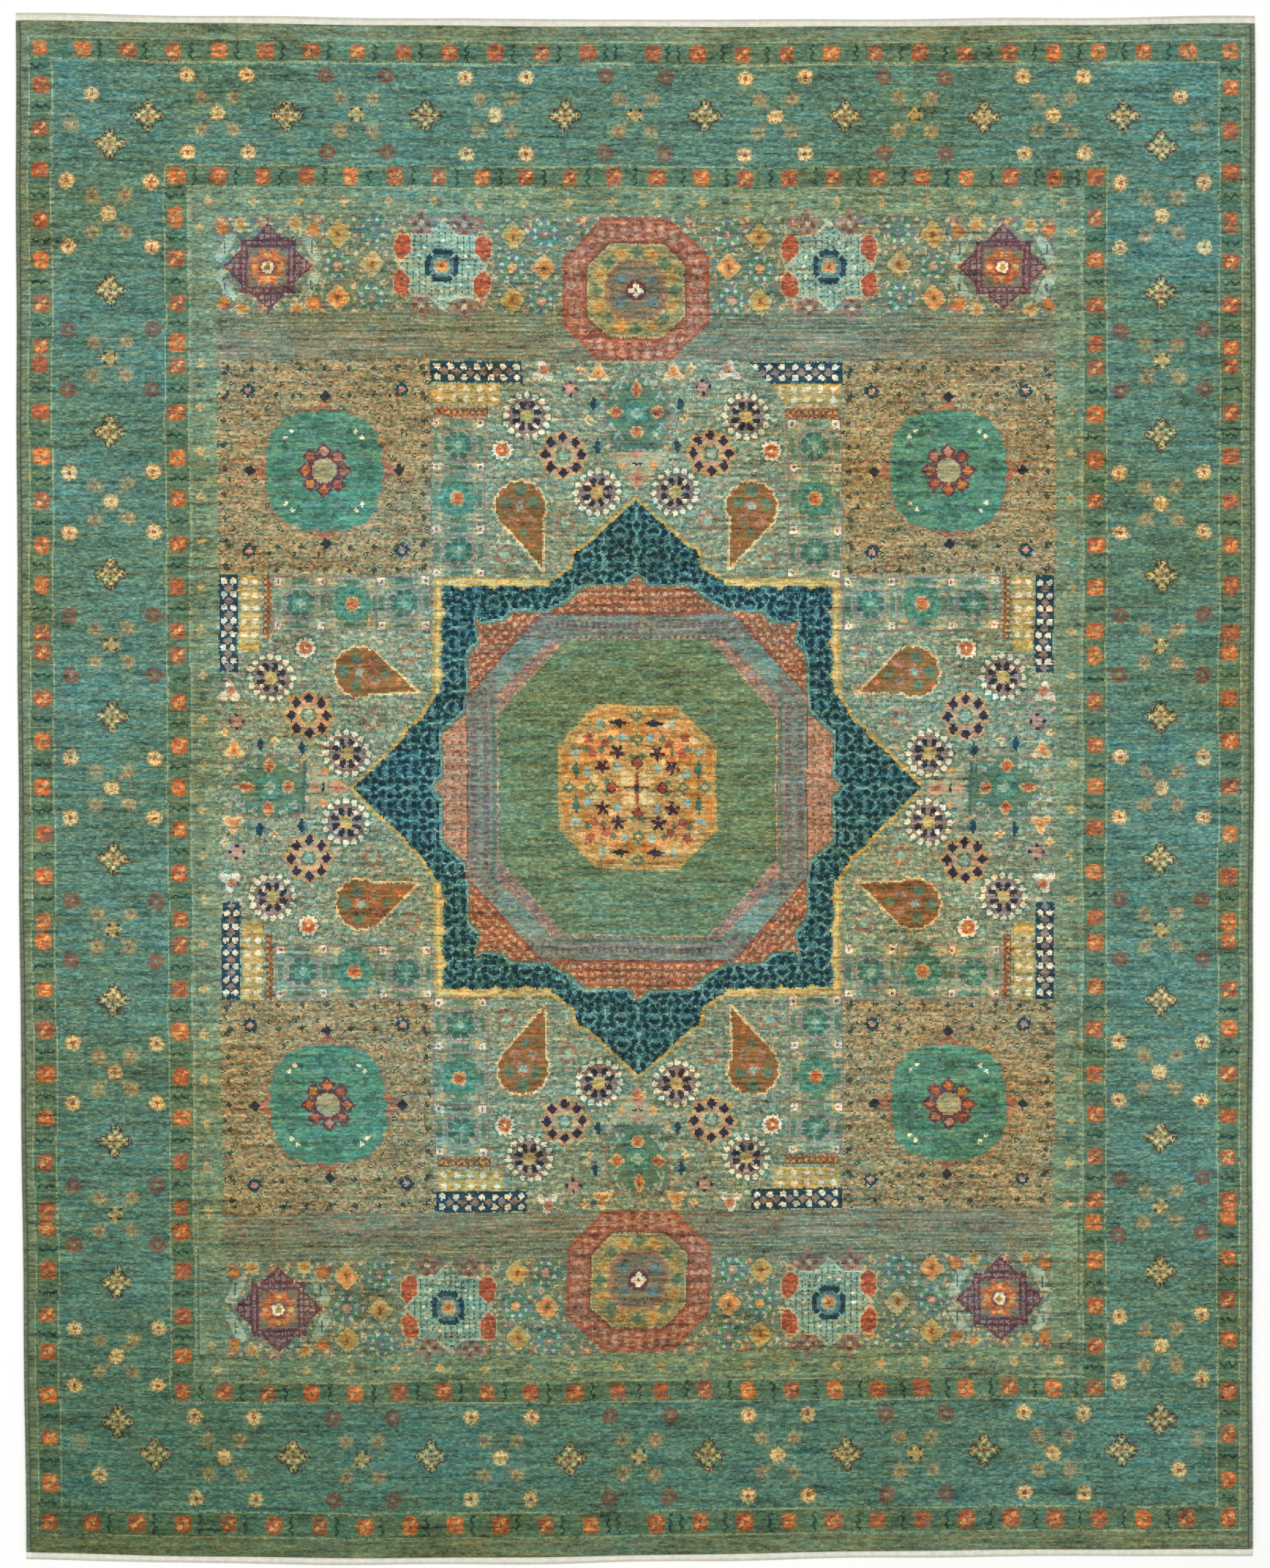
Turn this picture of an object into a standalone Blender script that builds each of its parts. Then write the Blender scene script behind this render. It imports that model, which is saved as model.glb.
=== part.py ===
"""A hand-knotted wool rug, lying flat: the knotted body, an overcast selvedge along each side
and a flat-woven cotton strip across each end. Metres, +Z up, the ends of the rug towards +Y and -Y."""

from collections import namedtuple
from math import pi, sin

import bmesh
import bpy

# The knotted body: cotton foundation and cut wool pile together.
BODY_THICKNESS = 0.009
BODY_SHOULDER = 0.003  # the pile rounds over at its rim

# The wool overcasting wrapped over the edge cords at both sides.
SELVEDGE_WIDTH = 0.010
SELVEDGE_THICKNESS = 0.0066
SELVEDGE_ROUNDING = 0.0024

# The flat-woven strips that finish the two ends, and how far each strays from an even depth.
STRIP_THICKNESS = 0.0026
STRIP_ROUNDING = 0.0008
TOP_STRIP_DEPTH = 0.014
BOTTOM_STRIP_DEPTH = 0.0125
STRIP_WANDER = 0.0009
STRIP_WANDER_WAVES = 5.5

GAP = 0.0003  # between neighbouring pieces
RIM_STATIONS = 28  # points along each side of an outline
SHOULDER_STEPS = 2

# No side of a hand-woven rug is straight. These are the corners of its knotted part, across and along.
LOWER_LEFT = (-1.199, -1.504)
LOWER_RIGHT = (1.217, -1.498)
UPPER_LEFT = (-1.220, 1.511)
UPPER_RIGHT = (1.221, 1.505)

# Each edge runs between two corners, bowed to +X or +Y by one half wave (bow) and one whole wave
# (sway), with a short ripple from the tension of the loom.
Edge = namedtuple("Edge", "start_along start_out end_along end_out bow sway")
LEFT_EDGE = Edge(*LOWER_LEFT[::-1], *UPPER_LEFT[::-1], bow=-0.005, sway=0.0)
RIGHT_EDGE = Edge(*LOWER_RIGHT[::-1], *UPPER_RIGHT[::-1], bow=0.0, sway=-0.002)
BOTTOM_EDGE = Edge(*LOWER_LEFT, *LOWER_RIGHT, bow=-0.009, sway=-0.006)
TOP_EDGE = Edge(*UPPER_LEFT, *UPPER_RIGHT, bow=-0.010, sway=0.0)
RIPPLE = 0.0007
RIPPLE_WAVES = 6.5


def edge_place(edge, share, inset=0.0):
    """(along, out) at this share of the edge's length, moved towards the middle of the rug by inset."""
    along = edge.start_along + share * (edge.end_along - edge.start_along)
    out = edge.start_out + share * (edge.end_out - edge.start_out)
    out += edge.bow * sin(pi * share) + edge.sway * sin(2 * pi * share)
    out += RIPPLE * sin(2 * pi * RIPPLE_WAVES * share)
    return along, out - inset if out > 0 else out + inset


def shares(count=RIM_STATIONS):
    return [step / count for step in range(count + 1)]


def side_line(edge, inset=0.0):
    """Points up a left or right edge, from the bottom corner to the top one."""
    return [(out, along) for along, out in (edge_place(edge, share, inset) for share in shares())]


def end_line(edge, inset=0.0):
    """Points across a top or bottom edge, from the left corner to the right one."""
    return [edge_place(edge, share, inset) for share in shares()]


def trimmed(line, low, high):
    """The line's points strictly between two limits on X."""
    return [point for point in line if low < point[0] < high]


def body_outline():
    """The knotted body inside its two selvedges, anticlockwise from its bottom left corner."""
    inset = SELVEDGE_WIDTH + GAP
    left, right = side_line(LEFT_EDGE, inset), side_line(RIGHT_EDGE, inset)
    bottom = trimmed(end_line(BOTTOM_EDGE), left[0][0], right[0][0])
    top = trimmed(end_line(TOP_EDGE), left[-1][0], right[-1][0])
    return bottom + right + top[::-1] + left[::-1]


def selvedge_outline(edge):
    """One overcast edge: a narrow strip along a side, as wide as the wrapped cords."""
    outer = side_line(edge)
    inner = side_line(edge, SELVEDGE_WIDTH)
    rightmost, leftmost = (outer, inner) if edge.start_out > 0 else (inner, outer)
    return rightmost + leftmost[::-1]


def strip_outline(edge, depth):
    """One woven end strip, from the rug's left edge to its right one, with a wandering outer edge."""
    inner = end_line(edge, -GAP)
    outer = []
    for share in shares():
        wander = STRIP_WANDER * sin(2 * pi * STRIP_WANDER_WAVES * share)
        outer.append(edge_place(edge, share, -(depth + wander)))
    upper, lower = (outer, inner) if edge.start_out > 0 else (inner, outer)
    return lower + upper[::-1]


def box_centre(outlines):
    points = [point for outline in outlines for point in outline]
    xs, ys = [x for x, _ in points], [y for _, y in points]
    return (min(xs) + max(xs)) / 2, (min(ys) + max(ys)) / 2


def raised_mesh(name, points, thickness, round_underside):
    """A flat closed outline raised from z = 0, with whole caps and its rims marked for rounding."""
    solid = bmesh.new()
    base = solid.faces.new([solid.verts.new((x, y, 0)) for x, y in points])
    raised = bmesh.ops.extrude_face_region(solid, geom=[base], use_keep_orig=True)
    for piece in raised["geom"]:
        if isinstance(piece, bmesh.types.BMVert):
            piece.co.z = thickness
    bmesh.ops.recalc_face_normals(solid, faces=solid.faces)
    rounding = solid.edges.layers.float.new("bevel_weight_edge")
    heights = (0.0, thickness) if round_underside else (thickness,)
    for edge in solid.edges:
        level = [v.co.z for v in edge.verts]
        edge[rounding] = float(any(max(abs(z - height) for z in level) < 1e-6 for height in heights))
    mesh = bpy.data.meshes.new(name)
    solid.to_mesh(mesh)
    solid.free()
    return mesh


def flat_solid(name, outline, centre, thickness, rounding, material, round_underside=False):
    """A flat piece of even thickness with rounded rims, its origin at the middle of its own box."""
    middle = box_centre([outline])
    local = [(x - middle[0], y - middle[1]) for x, y in outline]
    mesh = raised_mesh(name, local, thickness, round_underside)
    mesh.materials.append(material)
    piece = bpy.data.objects.new(name, mesh)
    piece.location = (middle[0] - centre[0], middle[1] - centre[1], 0)
    bevel = piece.modifiers.new("rounded rim", "BEVEL")
    bevel.limit_method = "WEIGHT"
    bevel.width = rounding
    bevel.segments = SHOULDER_STEPS
    return piece


def material(name, colour, roughness):
    made = bpy.data.materials.new(name)
    made.use_nodes = True
    shader = made.node_tree.nodes["Principled BSDF"]
    shader.inputs["Base Color"].default_value = (*colour, 1)
    shader.inputs["Roughness"].default_value = roughness
    shader.inputs["Metallic"].default_value = 0.0
    return made


for old in list(bpy.data.objects):
    bpy.data.objects.remove(old)

pile_wool = material("knotted wool pile", (0.075, 0.155, 0.125), 0.92)
edge_wool = material("overcast wool", (0.105, 0.135, 0.085), 0.88)
end_cotton = material("woven cotton", (0.78, 0.75, 0.66), 0.9)

body = body_outline()
selvedges = {"selvedge_left": selvedge_outline(LEFT_EDGE), "selvedge_right": selvedge_outline(RIGHT_EDGE)}
strips = {
    "end_strip_top": strip_outline(TOP_EDGE, TOP_STRIP_DEPTH),
    "end_strip_bottom": strip_outline(BOTTOM_EDGE, BOTTOM_STRIP_DEPTH),
}
centre = box_centre([body, *selvedges.values(), *strips.values()])

pieces = [flat_solid("knotted_body", body, centre, BODY_THICKNESS, BODY_SHOULDER, pile_wool)]
for name, outline in selvedges.items():
    pieces.append(
        flat_solid(
            name, outline, centre, SELVEDGE_THICKNESS, SELVEDGE_ROUNDING, edge_wool, round_underside=True
        )
    )
for name, outline in strips.items():
    pieces.append(flat_solid(name, outline, centre, STRIP_THICKNESS, STRIP_ROUNDING, end_cotton))

rug = bpy.data.collections.new("mamluk rug")
bpy.context.scene.collection.children.link(rug)
rest = bpy.data.objects.new("rug_on_floor", None)
rug.objects.link(rest)
for piece in pieces:
    rug.objects.link(piece)
    piece.parent = rest
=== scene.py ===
"""A hand-knotted wool rug lying flat: its woven foundation, the knotted pile with its star medallion,
the overcast sides and the flat-woven ends, on a pale floor under soft light."""

from math import pi

import bpy
import numpy as np
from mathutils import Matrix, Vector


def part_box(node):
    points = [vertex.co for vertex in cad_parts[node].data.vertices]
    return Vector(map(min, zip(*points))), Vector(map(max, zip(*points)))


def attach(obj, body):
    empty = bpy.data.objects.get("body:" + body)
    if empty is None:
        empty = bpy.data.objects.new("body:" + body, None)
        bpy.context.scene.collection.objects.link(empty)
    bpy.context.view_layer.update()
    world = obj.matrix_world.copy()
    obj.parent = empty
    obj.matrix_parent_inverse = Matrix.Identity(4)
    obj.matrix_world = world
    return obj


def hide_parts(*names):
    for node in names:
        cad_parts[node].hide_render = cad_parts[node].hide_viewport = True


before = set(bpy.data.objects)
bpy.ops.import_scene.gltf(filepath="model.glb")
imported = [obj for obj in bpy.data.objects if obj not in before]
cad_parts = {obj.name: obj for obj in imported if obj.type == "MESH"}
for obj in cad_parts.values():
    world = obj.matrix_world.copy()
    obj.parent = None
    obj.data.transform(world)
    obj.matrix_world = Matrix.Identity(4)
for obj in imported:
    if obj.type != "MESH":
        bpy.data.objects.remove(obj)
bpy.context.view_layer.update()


# ---- The woven foundation ----
# Cotton warps and wefts under the pile make one flat sheet, as wide as the rug and as long as its
# ends. It was woven on the loom first and holds every knot, so all the other pieces go with it.

WEAVE_THICKNESS = 0.0022
WEAVE_STATIONS = 48  # along each side of the sheet
MM = 0.001


def side_of(node, keep, axis):
    """The outline of a CAD node on one of its sides: stations along it and how far out each lies."""
    points = np.array([v.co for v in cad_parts[node].data.vertices])
    points = np.unique(points[points[:, 2] < 1e-5].round(6)[:, :2], axis=0)
    points = points[keep(points)]
    points = points[np.argsort(points[:, axis])]
    return points[:, axis], points[:, 1 - axis]


corner_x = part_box("knotted_body")[1][0] * 0.97
corner_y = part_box("knotted_body")[1][1] * 0.985
edges = {
    "left": side_of("knotted_body", lambda p: p[:, 0] < -corner_x, 1),
    "right": side_of("knotted_body", lambda p: p[:, 0] > corner_x, 1),
    "bottom": side_of("knotted_body", lambda p: p[:, 1] < -corner_y, 0),
    "top": side_of("knotted_body", lambda p: p[:, 1] > corner_y, 0),
}
# How soon each edge's own waver dies away towards the middle: the power of the share of the way.
WAVER = {"left": 10, "right": 10, "bottom": 6, "top": 6}


def edge_at(name, share):
    """(out along the straight line between the corners, waver from that line) at shares of an edge."""
    along, out = edges[name]
    straight = out[0] + share * (out[-1] - out[0])
    real = np.interp(along[0] + share * (along[-1] - along[0]), along, out)
    return straight, real - straight


def lie(across, along):
    """Where a place on the knotted body lies: across and along run from 0 to 1 between its edges."""
    left, left_waver = edge_at("left", along)
    right, right_waver = edge_at("right", along)
    bottom, bottom_waver = edge_at("bottom", across)
    top, top_waver = edge_at("top", across)
    x = left + across * (right - left)
    x = x + left_waver * np.clip(1 - across, 0, 1) ** WAVER["left"]
    x = x + right_waver * np.clip(across, 0, 1) ** WAVER["right"]
    y = bottom + along * (top - bottom)
    y = y + bottom_waver * np.clip(1 - along, 0, 1) ** WAVER["bottom"]
    y = y + top_waver * np.clip(along, 0, 1) ** WAVER["top"]
    return x, y


def linear(code):
    """An sRGB hex colour as linear red, green and blue."""
    parts = [int(code[i : i + 2], 16) / 255 for i in (1, 3, 5)]
    return tuple(c / 12.92 if c <= 0.04045 else ((c + 0.055) / 1.055) ** 2.4 for c in parts)


def add(nodes, kind, settings=None, **inputs):
    """A shader node with its settings, and its inputs set or linked by name (spaces as underscores)."""
    node = nodes.nodes.new(kind)
    for name, value in (settings or {}).items():
        setattr(node, name, value)
    for name, value in inputs.items():
        key = int(name[2:]) if name.startswith("at") and name[2:].isdigit() else name.replace("_", " ")
        if isinstance(value, bpy.types.NodeSocket):
            nodes.links.new(value, node.inputs[key])
        else:
            node.inputs[key].default_value = value
    return node


def finish_material(name):
    """A new node material, its tree and its Principled shader."""
    made = bpy.data.materials.new(name)
    made.use_nodes = True
    return made, made.node_tree, made.node_tree.nodes["Principled BSDF"]


# Undyed cotton, plain woven and hidden but for its back: matt, with fine ribs of weft 3 mm apart
# drawn as bands of lighter cotton and darker painted shade between them.
def woven_cotton_back():
    made, tree, shader = finish_material("undyed cotton foundation, plain woven")
    place = add(tree, "ShaderNodeTexCoord")
    # Painted shade: darker cotton in the grooves between the ribs, lighter on them.
    painted_rib_shade = add(
        tree, "ShaderNodeTexWave", {"bands_direction": "Y"}, Vector=place.outputs["Object"], Scale=105.0
    )
    ramp = add(tree, "ShaderNodeValToRGB", Fac=painted_rib_shade.outputs["Fac"])
    ramp.color_ramp.elements[0].color = (*linear("#a9a48c"), 1)
    ramp.color_ramp.elements[1].color = (*linear("#d8d3c0"), 1)
    tree.links.new(ramp.outputs["Color"], shader.inputs["Base Color"])
    shader.inputs["Roughness"].default_value = 0.95
    return made


def woven_sheet():
    """A thin closed slab under the whole rug, drawn in a little from the outline of the pile."""
    steps = np.linspace(0, 1, WEAVE_STATIONS)
    across, along = np.meshgrid(0.004 + 0.992 * steps, 0.003 + 0.994 * steps)
    x, y = lie(across, along)
    count = WEAVE_STATIONS
    upper = np.stack([x, y, np.full_like(x, WEAVE_THICKNESS)], -1).reshape(-1, 3)
    lower = upper * (1, 1, 0)
    cell = (np.arange(count - 1)[:, None] * count + np.arange(count - 1)).ravel()
    top = np.stack([cell, cell + 1, cell + count + 1, cell + count], 1)
    rim = np.concatenate(
        [
            np.arange(count),
            np.arange(2 * count - 1, count * count, count),
            np.arange(count * count - 2, count * (count - 1) - 1, -1),
            np.arange(count * (count - 2), 0, -count),
        ]
    )
    following = np.roll(rim, -1)
    wall = np.stack([rim + count * count, following + count * count, following, rim], 1)
    under = top[:, ::-1] + count * count
    mesh = bpy.data.meshes.new("foundation")
    mesh.from_pydata(np.concatenate([upper, lower]).tolist(), [], np.concatenate([top, wall, under]).tolist())
    return mesh


foundation = bpy.data.objects.new("foundation", woven_sheet())
bpy.context.scene.collection.objects.link(foundation)
foundation.data.materials.append(woven_cotton_back())
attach(foundation, "root")


# ---- The weaver's draft: borders ----
# Before knotting, the design is drawn square by square. The outer edge and two narrow guards with
# red squares run round a broad border of small palmettes and crossed rosettes on blue-green wool.

KNOT = 3.0  # millimetres from one knot to the next, across and along
SQUARE = 1.5  # millimetres to a square of the draft
low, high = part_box("knotted_body")
HALF_WIDTH, HALF_LENGTH = (1000 * (h - l) / 2 for h, l in ((high[0], low[0]), (high[1], low[1])))
HALF_WIDTH, HALF_LENGTH = HALF_WIDTH - 8, HALF_LENGTH - 7
columns, rows = int(2 * HALF_WIDTH / SQUARE), int(2 * HALF_LENGTH / SQUARE)
draft = np.zeros((rows, columns), np.uint8)
square_x = (np.arange(columns) + 0.5) * SQUARE - HALF_WIDTH
square_y = (np.arange(rows) + 0.5) * SQUARE - HALF_LENGTH

yarns = []


def yarn(base, stray=None, share=0.0, other=None, other_share=0.0):
    """One entry of the draft: a wool, and two more that stray into it at a share of its knots."""
    yarns.append((base, stray or base, share, other or base, other_share))
    return len(yarns) - 1


def draw(fill, shape, x=0.0, y=0.0, reach=2000.0, repeated=True, only=None):
    """Fill a shape into the draft, and into its mirror images on the other three quarters."""
    for side in ((1, -1) if repeated and x else (1,)):
        for end in ((1, -1) if repeated and y else (1,)):
            first = np.searchsorted(square_x, side * x - reach), np.searchsorted(square_y, end * y - reach)
            last = np.searchsorted(square_x, side * x + reach), np.searchsorted(square_y, end * y + reach)
            window = draft[first[1] : last[1], first[0] : last[0]]
            across = side * square_x[None, first[0] : last[0]] - x
            along = end * square_y[first[1] : last[1], None] - y
            inside = shape(across, along)
            if only is not None:
                inside = inside & np.isin(window, only)
            window[inside] = fill


def disc(radius):
    return lambda x, y: np.hypot(x, y) < radius


def block(half_x, half_y=None):
    half_y = half_x if half_y is None else half_y
    return lambda x, y: (np.abs(x) < half_x) & (np.abs(y) < half_y)


def diamond(half_x, half_y=None):
    half_y = half_x if half_y is None else half_y
    return lambda x, y: np.abs(x) / half_x + np.abs(y) / half_y < 1


def octagon(half_x, half_y, flat_x, flat_y):
    """Half sizes across and along, and half the length of its level and its upright sides."""
    def test(x, y):
        x, y = np.abs(x), np.abs(y)
        slope = (x - flat_x) / (half_x - flat_x) + (y - flat_y) / (half_y - flat_y)
        return (x < half_x) & (y < half_y) & (slope < 1)
    return test


def flower(radius, petals, depth=0.3, turn=0.0):
    """A rosette whose rim swings in and out once for each petal, with the first petal straight up."""
    def test(x, y):
        angle = np.arctan2(x, y) - turn
        return np.hypot(x, y) < radius * (1 - depth / 2 + depth / 2 * np.cos(petals * angle))
    return test


def ring_of(count, distance, shape, turn=0.0):
    """A shape repeated round a circle, each copy upright."""
    def test(x, y):
        inside = np.zeros(np.broadcast(x, y).shape, bool)
        for step in range(count):
            angle = 2 * pi * step / count + turn
            inside |= shape(x - distance * np.sin(angle), y - distance * np.cos(angle))
        return inside
    return test


def spots(shape, *places):
    """A shape at each of these places, and at their mirror images in both directions."""
    def test(x, y):
        x, y = np.abs(x), np.abs(y)
        inside = np.zeros(np.broadcast(x, y).shape, bool)
        for across, along in places:
            inside |= shape(x - across, y - along)
        return inside
    return test


def outline(*corners):
    """A straight-sided shape through these corners."""
    def test(x, y):
        inside = np.zeros(np.broadcast(x, y).shape, bool)
        for (x1, y1), (x2, y2) in zip(corners, corners[1:] + corners[:1]):
            if y1 != y2:
                crossing = x1 + (y - y1) * (x2 - x1) / (y2 - y1)
                inside ^= ((y1 > y) != (y2 > y)) & (x < crossing)
        return inside
    return test


def mirrored(shape):
    """A shape given in one quarter, mirrored into the other three."""
    return lambda x, y: shape(np.abs(x), np.abs(y))


def turned(shape):
    """A shape with its width and its length exchanged."""
    return lambda x, y: shape(y, x)


edge_wool = yarn("#707f62", "#616f54", 0.25, "#7f8e70", 0.22)
pale_line = yarn("#939f7c", "#7f8e6c", 0.4)
guard_ground = yarn("#5a755c", "#486650", 0.28, "#6f8869", 0.22)
sea_ground = yarn("#587c6c", "#466859", 0.28, "#70947f", 0.27)
minor_ground = yarn("#778c6e", "#60775b", 0.24, "#93a383", 0.24)
rust = yarn("#a25a3a", "#87503a", 0.3, "#bd7d4b", 0.2)
ember = yarn("#c0703f", "#a85c3a", 0.3, "#cf8d56", 0.25)
flame = yarn("#d69a5f", "#c98250", 0.3, "#dcae74", 0.25)
clay = yarn("#966049", "#7d5a48", 0.35, "#ab7652", 0.2)
halo = yarn("#7f7a52", "#66744f", 0.45)
ink = yarn("#284637", "#3c5d4b", 0.3)
cream = yarn("#d6c08c", "#c4a871", 0.3)
gold = yarn("#bb9d5c", "#a08449", 0.35)
walnut = yarn("#6b5240", "#7f6549", 0.3)
faint_brown = yarn("#7f8668", "#94866a", 0.35, "#67806c", 0.25)
umber = yarn("#54443a", "#6b5644", 0.3)
straw = yarn("#b9a777", "#9c9068", 0.3)
old_straw = yarn("#a59a6a", "#8a8a62", 0.35, "#bba976", 0.2)
leaf_shade = yarn("#5b6b4b", "#4d5f48", 0.35)
drab = yarn("#6d5a4c", "#7b6c58", 0.35)
tan_rim = yarn("#9c8a5c", "#877a56", 0.35)

# Each band reaches in from (half width, half length), and the next one is laid over it.
for fill, half_x, half_y in (
    (edge_wool, 1300, 1600),
    (pale_line, 1190, 1474),
    (guard_ground, 1186.5, 1470.5),
    (pale_line, 1145, 1427),
    (sea_ground, 1141.5, 1423.5),
    (pale_line, 924, 1219),
    (guard_ground, 920.5, 1215.5),
    (pale_line, 878, 1177),
    (minor_ground, 874.5, 1173.5),
):
    draw(fill, block(half_x, half_y))

GUARD_ROW, GUARD_COLUMN = 1449, 1165  # middle lines of the outer guard
INNER_ROW, INNER_COLUMN = 1196, 900  # and of the inner one
row_left = [-94 - 89.8 * step for step in range(12)]
row_right = [35 + 87.3 * step for step in range(13)]
column_up = [0, 92, 175, 266, 304, 399, 477, 564, 652, 739, 832, 868, 952, 1037, 1113, 1204, 1287, 1374]
inner_row = [43 + 86.2 * step for step in range(10)]
inner_column = [0, 82, 168, 259, 308, 395, 478, 567, 648, 737, 829, 876, 953, 1043, 1122]
dye_lots = np.random.default_rng(5)


def guard_square(x, y):
    """A red square with a lighter slant across it, tied in whichever red was to hand."""
    lot = dye_lots.integers(4)
    size_x, size_y = 14 + dye_lots.integers(4), 15 + dye_lots.integers(4)
    draw(halo, flower(size_x + 7, 4, 0.3, pi / 4), x, y, 30, repeated=False)
    draw((rust, ember, rust, clay)[lot], octagon(size_x, size_y, 8, 9), x, y, 30, repeated=False)
    draw((ember, ember, clay, rust)[lot], diamond(14), x + 1, y - 1, 30, repeated=False)
    slant = lambda a, b: (np.abs(a - b) < 4.5) & (np.hypot(a, b) < 14)
    draw((flame, flame, ember, flame)[lot], slant, x, y, 30, repeated=False)
    draw((clay, halo, rust, halo)[lot], disc(3), x, y, 30, repeated=False)


def bracket(x, y, upright):
    """A small dark brace between two squares."""
    lean = dye_lots.integers(2) * 2 - 1
    def brace(across, along):
        bulge = 2.6 * lean * np.cos(along * 0.36)
        return (np.abs(across - bulge) < 2.7) & (np.abs(along) < 18)
    draw(ink, brace if upright else turned(brace), x, y, 26, repeated=False)


for end in (1, -1):
    for x in row_left + row_right + [-GUARD_COLUMN, GUARD_COLUMN]:
        guard_square(x, end * GUARD_ROW)
    for x in [place + 34 for place in row_left] + [place - 38 for place in row_right[1:]] + [-40, 63]:
        bracket(x, end * GUARD_ROW, True)
    for side in (1, -1):
        for y in column_up if end > 0 else column_up[1:]:
            guard_square(side * GUARD_COLUMN, end * y)
        for lower, upper in zip(column_up, column_up[1:] + [GUARD_ROW]):
            if upper - lower > 60:
                bracket(side * GUARD_COLUMN, end * (lower + upper) / 2, False)
        for x in inner_row + [INNER_COLUMN]:
            guard_square(side * x, end * INNER_ROW)
        for x in inner_row[1:] + [INNER_COLUMN]:
            bracket(side * (x - 36), end * INNER_ROW, True)
        for y in inner_column if end > 0 else inner_column[1:]:
            guard_square(side * INNER_COLUMN, end * y)
        for lower, upper in zip(inner_column, inner_column[1:] + [INNER_ROW]):
            if upper - lower > 60:
                bracket(side * INNER_COLUMN, end * (lower + upper) / 2, False)
    bracket(0, end * INNER_ROW, True)

BORDER_ROW, BORDER_COLUMN = 1322, 1030  # middle lines of the broad border
STEP_ROW, STEP_COLUMN = 273, 281  # from one crossed cluster to the next


def palmette(x, y):
    """A small gold diamond of petals with a dark dotted rim."""
    draw(umber, flower(34, 4, 0.36), x, y, 40)
    draw(sea_ground, ring_of(20, 31, disc(2.4), pi / 20), x, y, 40)
    draw(old_straw, flower(29, 4, 0.38), x, y, 40)
    draw(leaf_shade, ring_of(8, 18, disc(3.4), pi / 8), x, y, 40)
    draw(cream, ring_of(4, 18, disc(3.6)), x, y, 40)
    draw(cream, ring_of(4, 12, disc(3), pi / 4), x, y, 40)
    draw(ink, ring_of(4, 25, disc(2.6)), x, y, 40)
    draw(ink, ring_of(8, 23, disc(2), pi / 8), x, y, 40)
    draw(leaf_shade, ring_of(4, 10, disc(3)), x, y, 40)
    draw(clay, disc(4), x, y, 40)


def rosette(x, y, petals, heart, rim):
    draw(rim, disc(16.5), x, y, 20)
    draw(petals, flower(15, 8, 0.22), x, y, 20)
    draw(rim, ring_of(4, 9.5, disc(2)), x, y, 20)
    draw(heart, disc(4.4), x, y, 20)


def crossed_cluster(x, y, spread_x, spread_y, light):
    """A middle rosette with four faint ones close round it and four clear ones further out."""
    for side in (1, -1):
        for end in (1, -1):
            draw(faint_brown, flower(18, 6, 0.3), x + side * 32, y + end * 33, 20, only=[sea_ground])
            draw(old_straw, ring_of(6, 9, disc(3)), x + side * 32, y + end * 33, 20)
            draw(clay, disc(3), x + side * 32, y + end * 33, 20)
            if light:
                rosette(x + side * spread_x, y + end * spread_y, cream, rust, tan_rim)
            else:
                rosette(x + side * spread_x, y + end * spread_y, drab, faint_brown, drab)
            draw(faint_brown, disc(5), x + side * 18, y + end * 19, 12, only=[sea_ground])
    rosette(x, y, cream if light else old_straw, gold, tan_rim)
    if not light:
        draw(ink, ring_of(4, 13, disc(3.4), pi / 4), x, y, 20)
        draw(cream, ring_of(4, 12, disc(2.6)), x, y, 20)


for step in range(4):
    crossed_cluster(STEP_ROW * step, BORDER_ROW, 59, 78, step % 2 == 1)
    palmette(STEP_ROW * (step + 0.5), BORDER_ROW - 2 * step)
for step in range(5):
    crossed_cluster(BORDER_COLUMN, STEP_COLUMN * step, 82, 59, step % 2 == 0)
    palmette(BORDER_COLUMN, STEP_COLUMN * (step + 0.5) - 2 * step)
rosette(1067, 1356, cream, rust, tan_rim)
rosette(1104, 1296, faint_brown, old_straw, faint_brown)

# Between the inner guard and the field runs a plain strip of small yellow blossoms.
for step in range(10):
    for x, y in ((44 + 88 * step, 1150), (854, 44 + 88 * step), (854, 1100)):
        draw(straw, flower(10, 4, 0.4), x, y, 14)
        draw(gold, disc(3.4), x, y, 14)
    for x, y in ((88 * step, 1156), (854, 88 * step)):
        draw(sea_ground, block(6, 7), x, y, 14)
        draw(minor_ground, disc(3), x, y, 14)


# ---- The weaver's draft: end panels and corner squares ----
# At each end a panel carries five large motifs, a red octagon between mint and maroon stars, above
# a plain striped band. Four tan squares fill the corners, each with a blue-green lobed medallion.


def repeat(chart, inks, ground, drop=0, box=None, size=KNOT, sides=0):
    """A small charted ornament repeated over one ground. Each letter is a yarn and a dot leaves the
    ground as it is; every other course of repeats is moved across by drop knots. With four or eight
    sides the courses run round the middle of the rug, and otherwise straight across it."""
    x, y = np.meshgrid(np.abs(square_x), np.abs(square_y))
    slant = (x + y) / 2**0.5
    ways = ((y / 345, x, y), (x / 335, y, x), (slant / 369, np.abs(x - y) / 2**0.5, slant))
    nearest = np.argmax([way[0] for way in ways[: {0: 1, 4: 2, 8: 3}[sides]]], 0)
    across, along = (np.choose(nearest, [way[place] for way in ways]) / size for place in (1, 2))
    letters = np.array([list(line) for line in chart])
    row = along.astype(int) % len(chart)
    course = (along / len(chart)).astype(int) % 2
    column = (across.astype(int) + drop * course) % len(chart[0])
    picked = letters[row, column]
    here = draft == ground
    if box:
        x1, x2, y1, y2 = box
        here &= (x > x1) & (x < x2) & (y > y1) & (y < y2)
    for letter, fill in inks.items():
        draft[here & (picked == letter)] = fill


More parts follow.
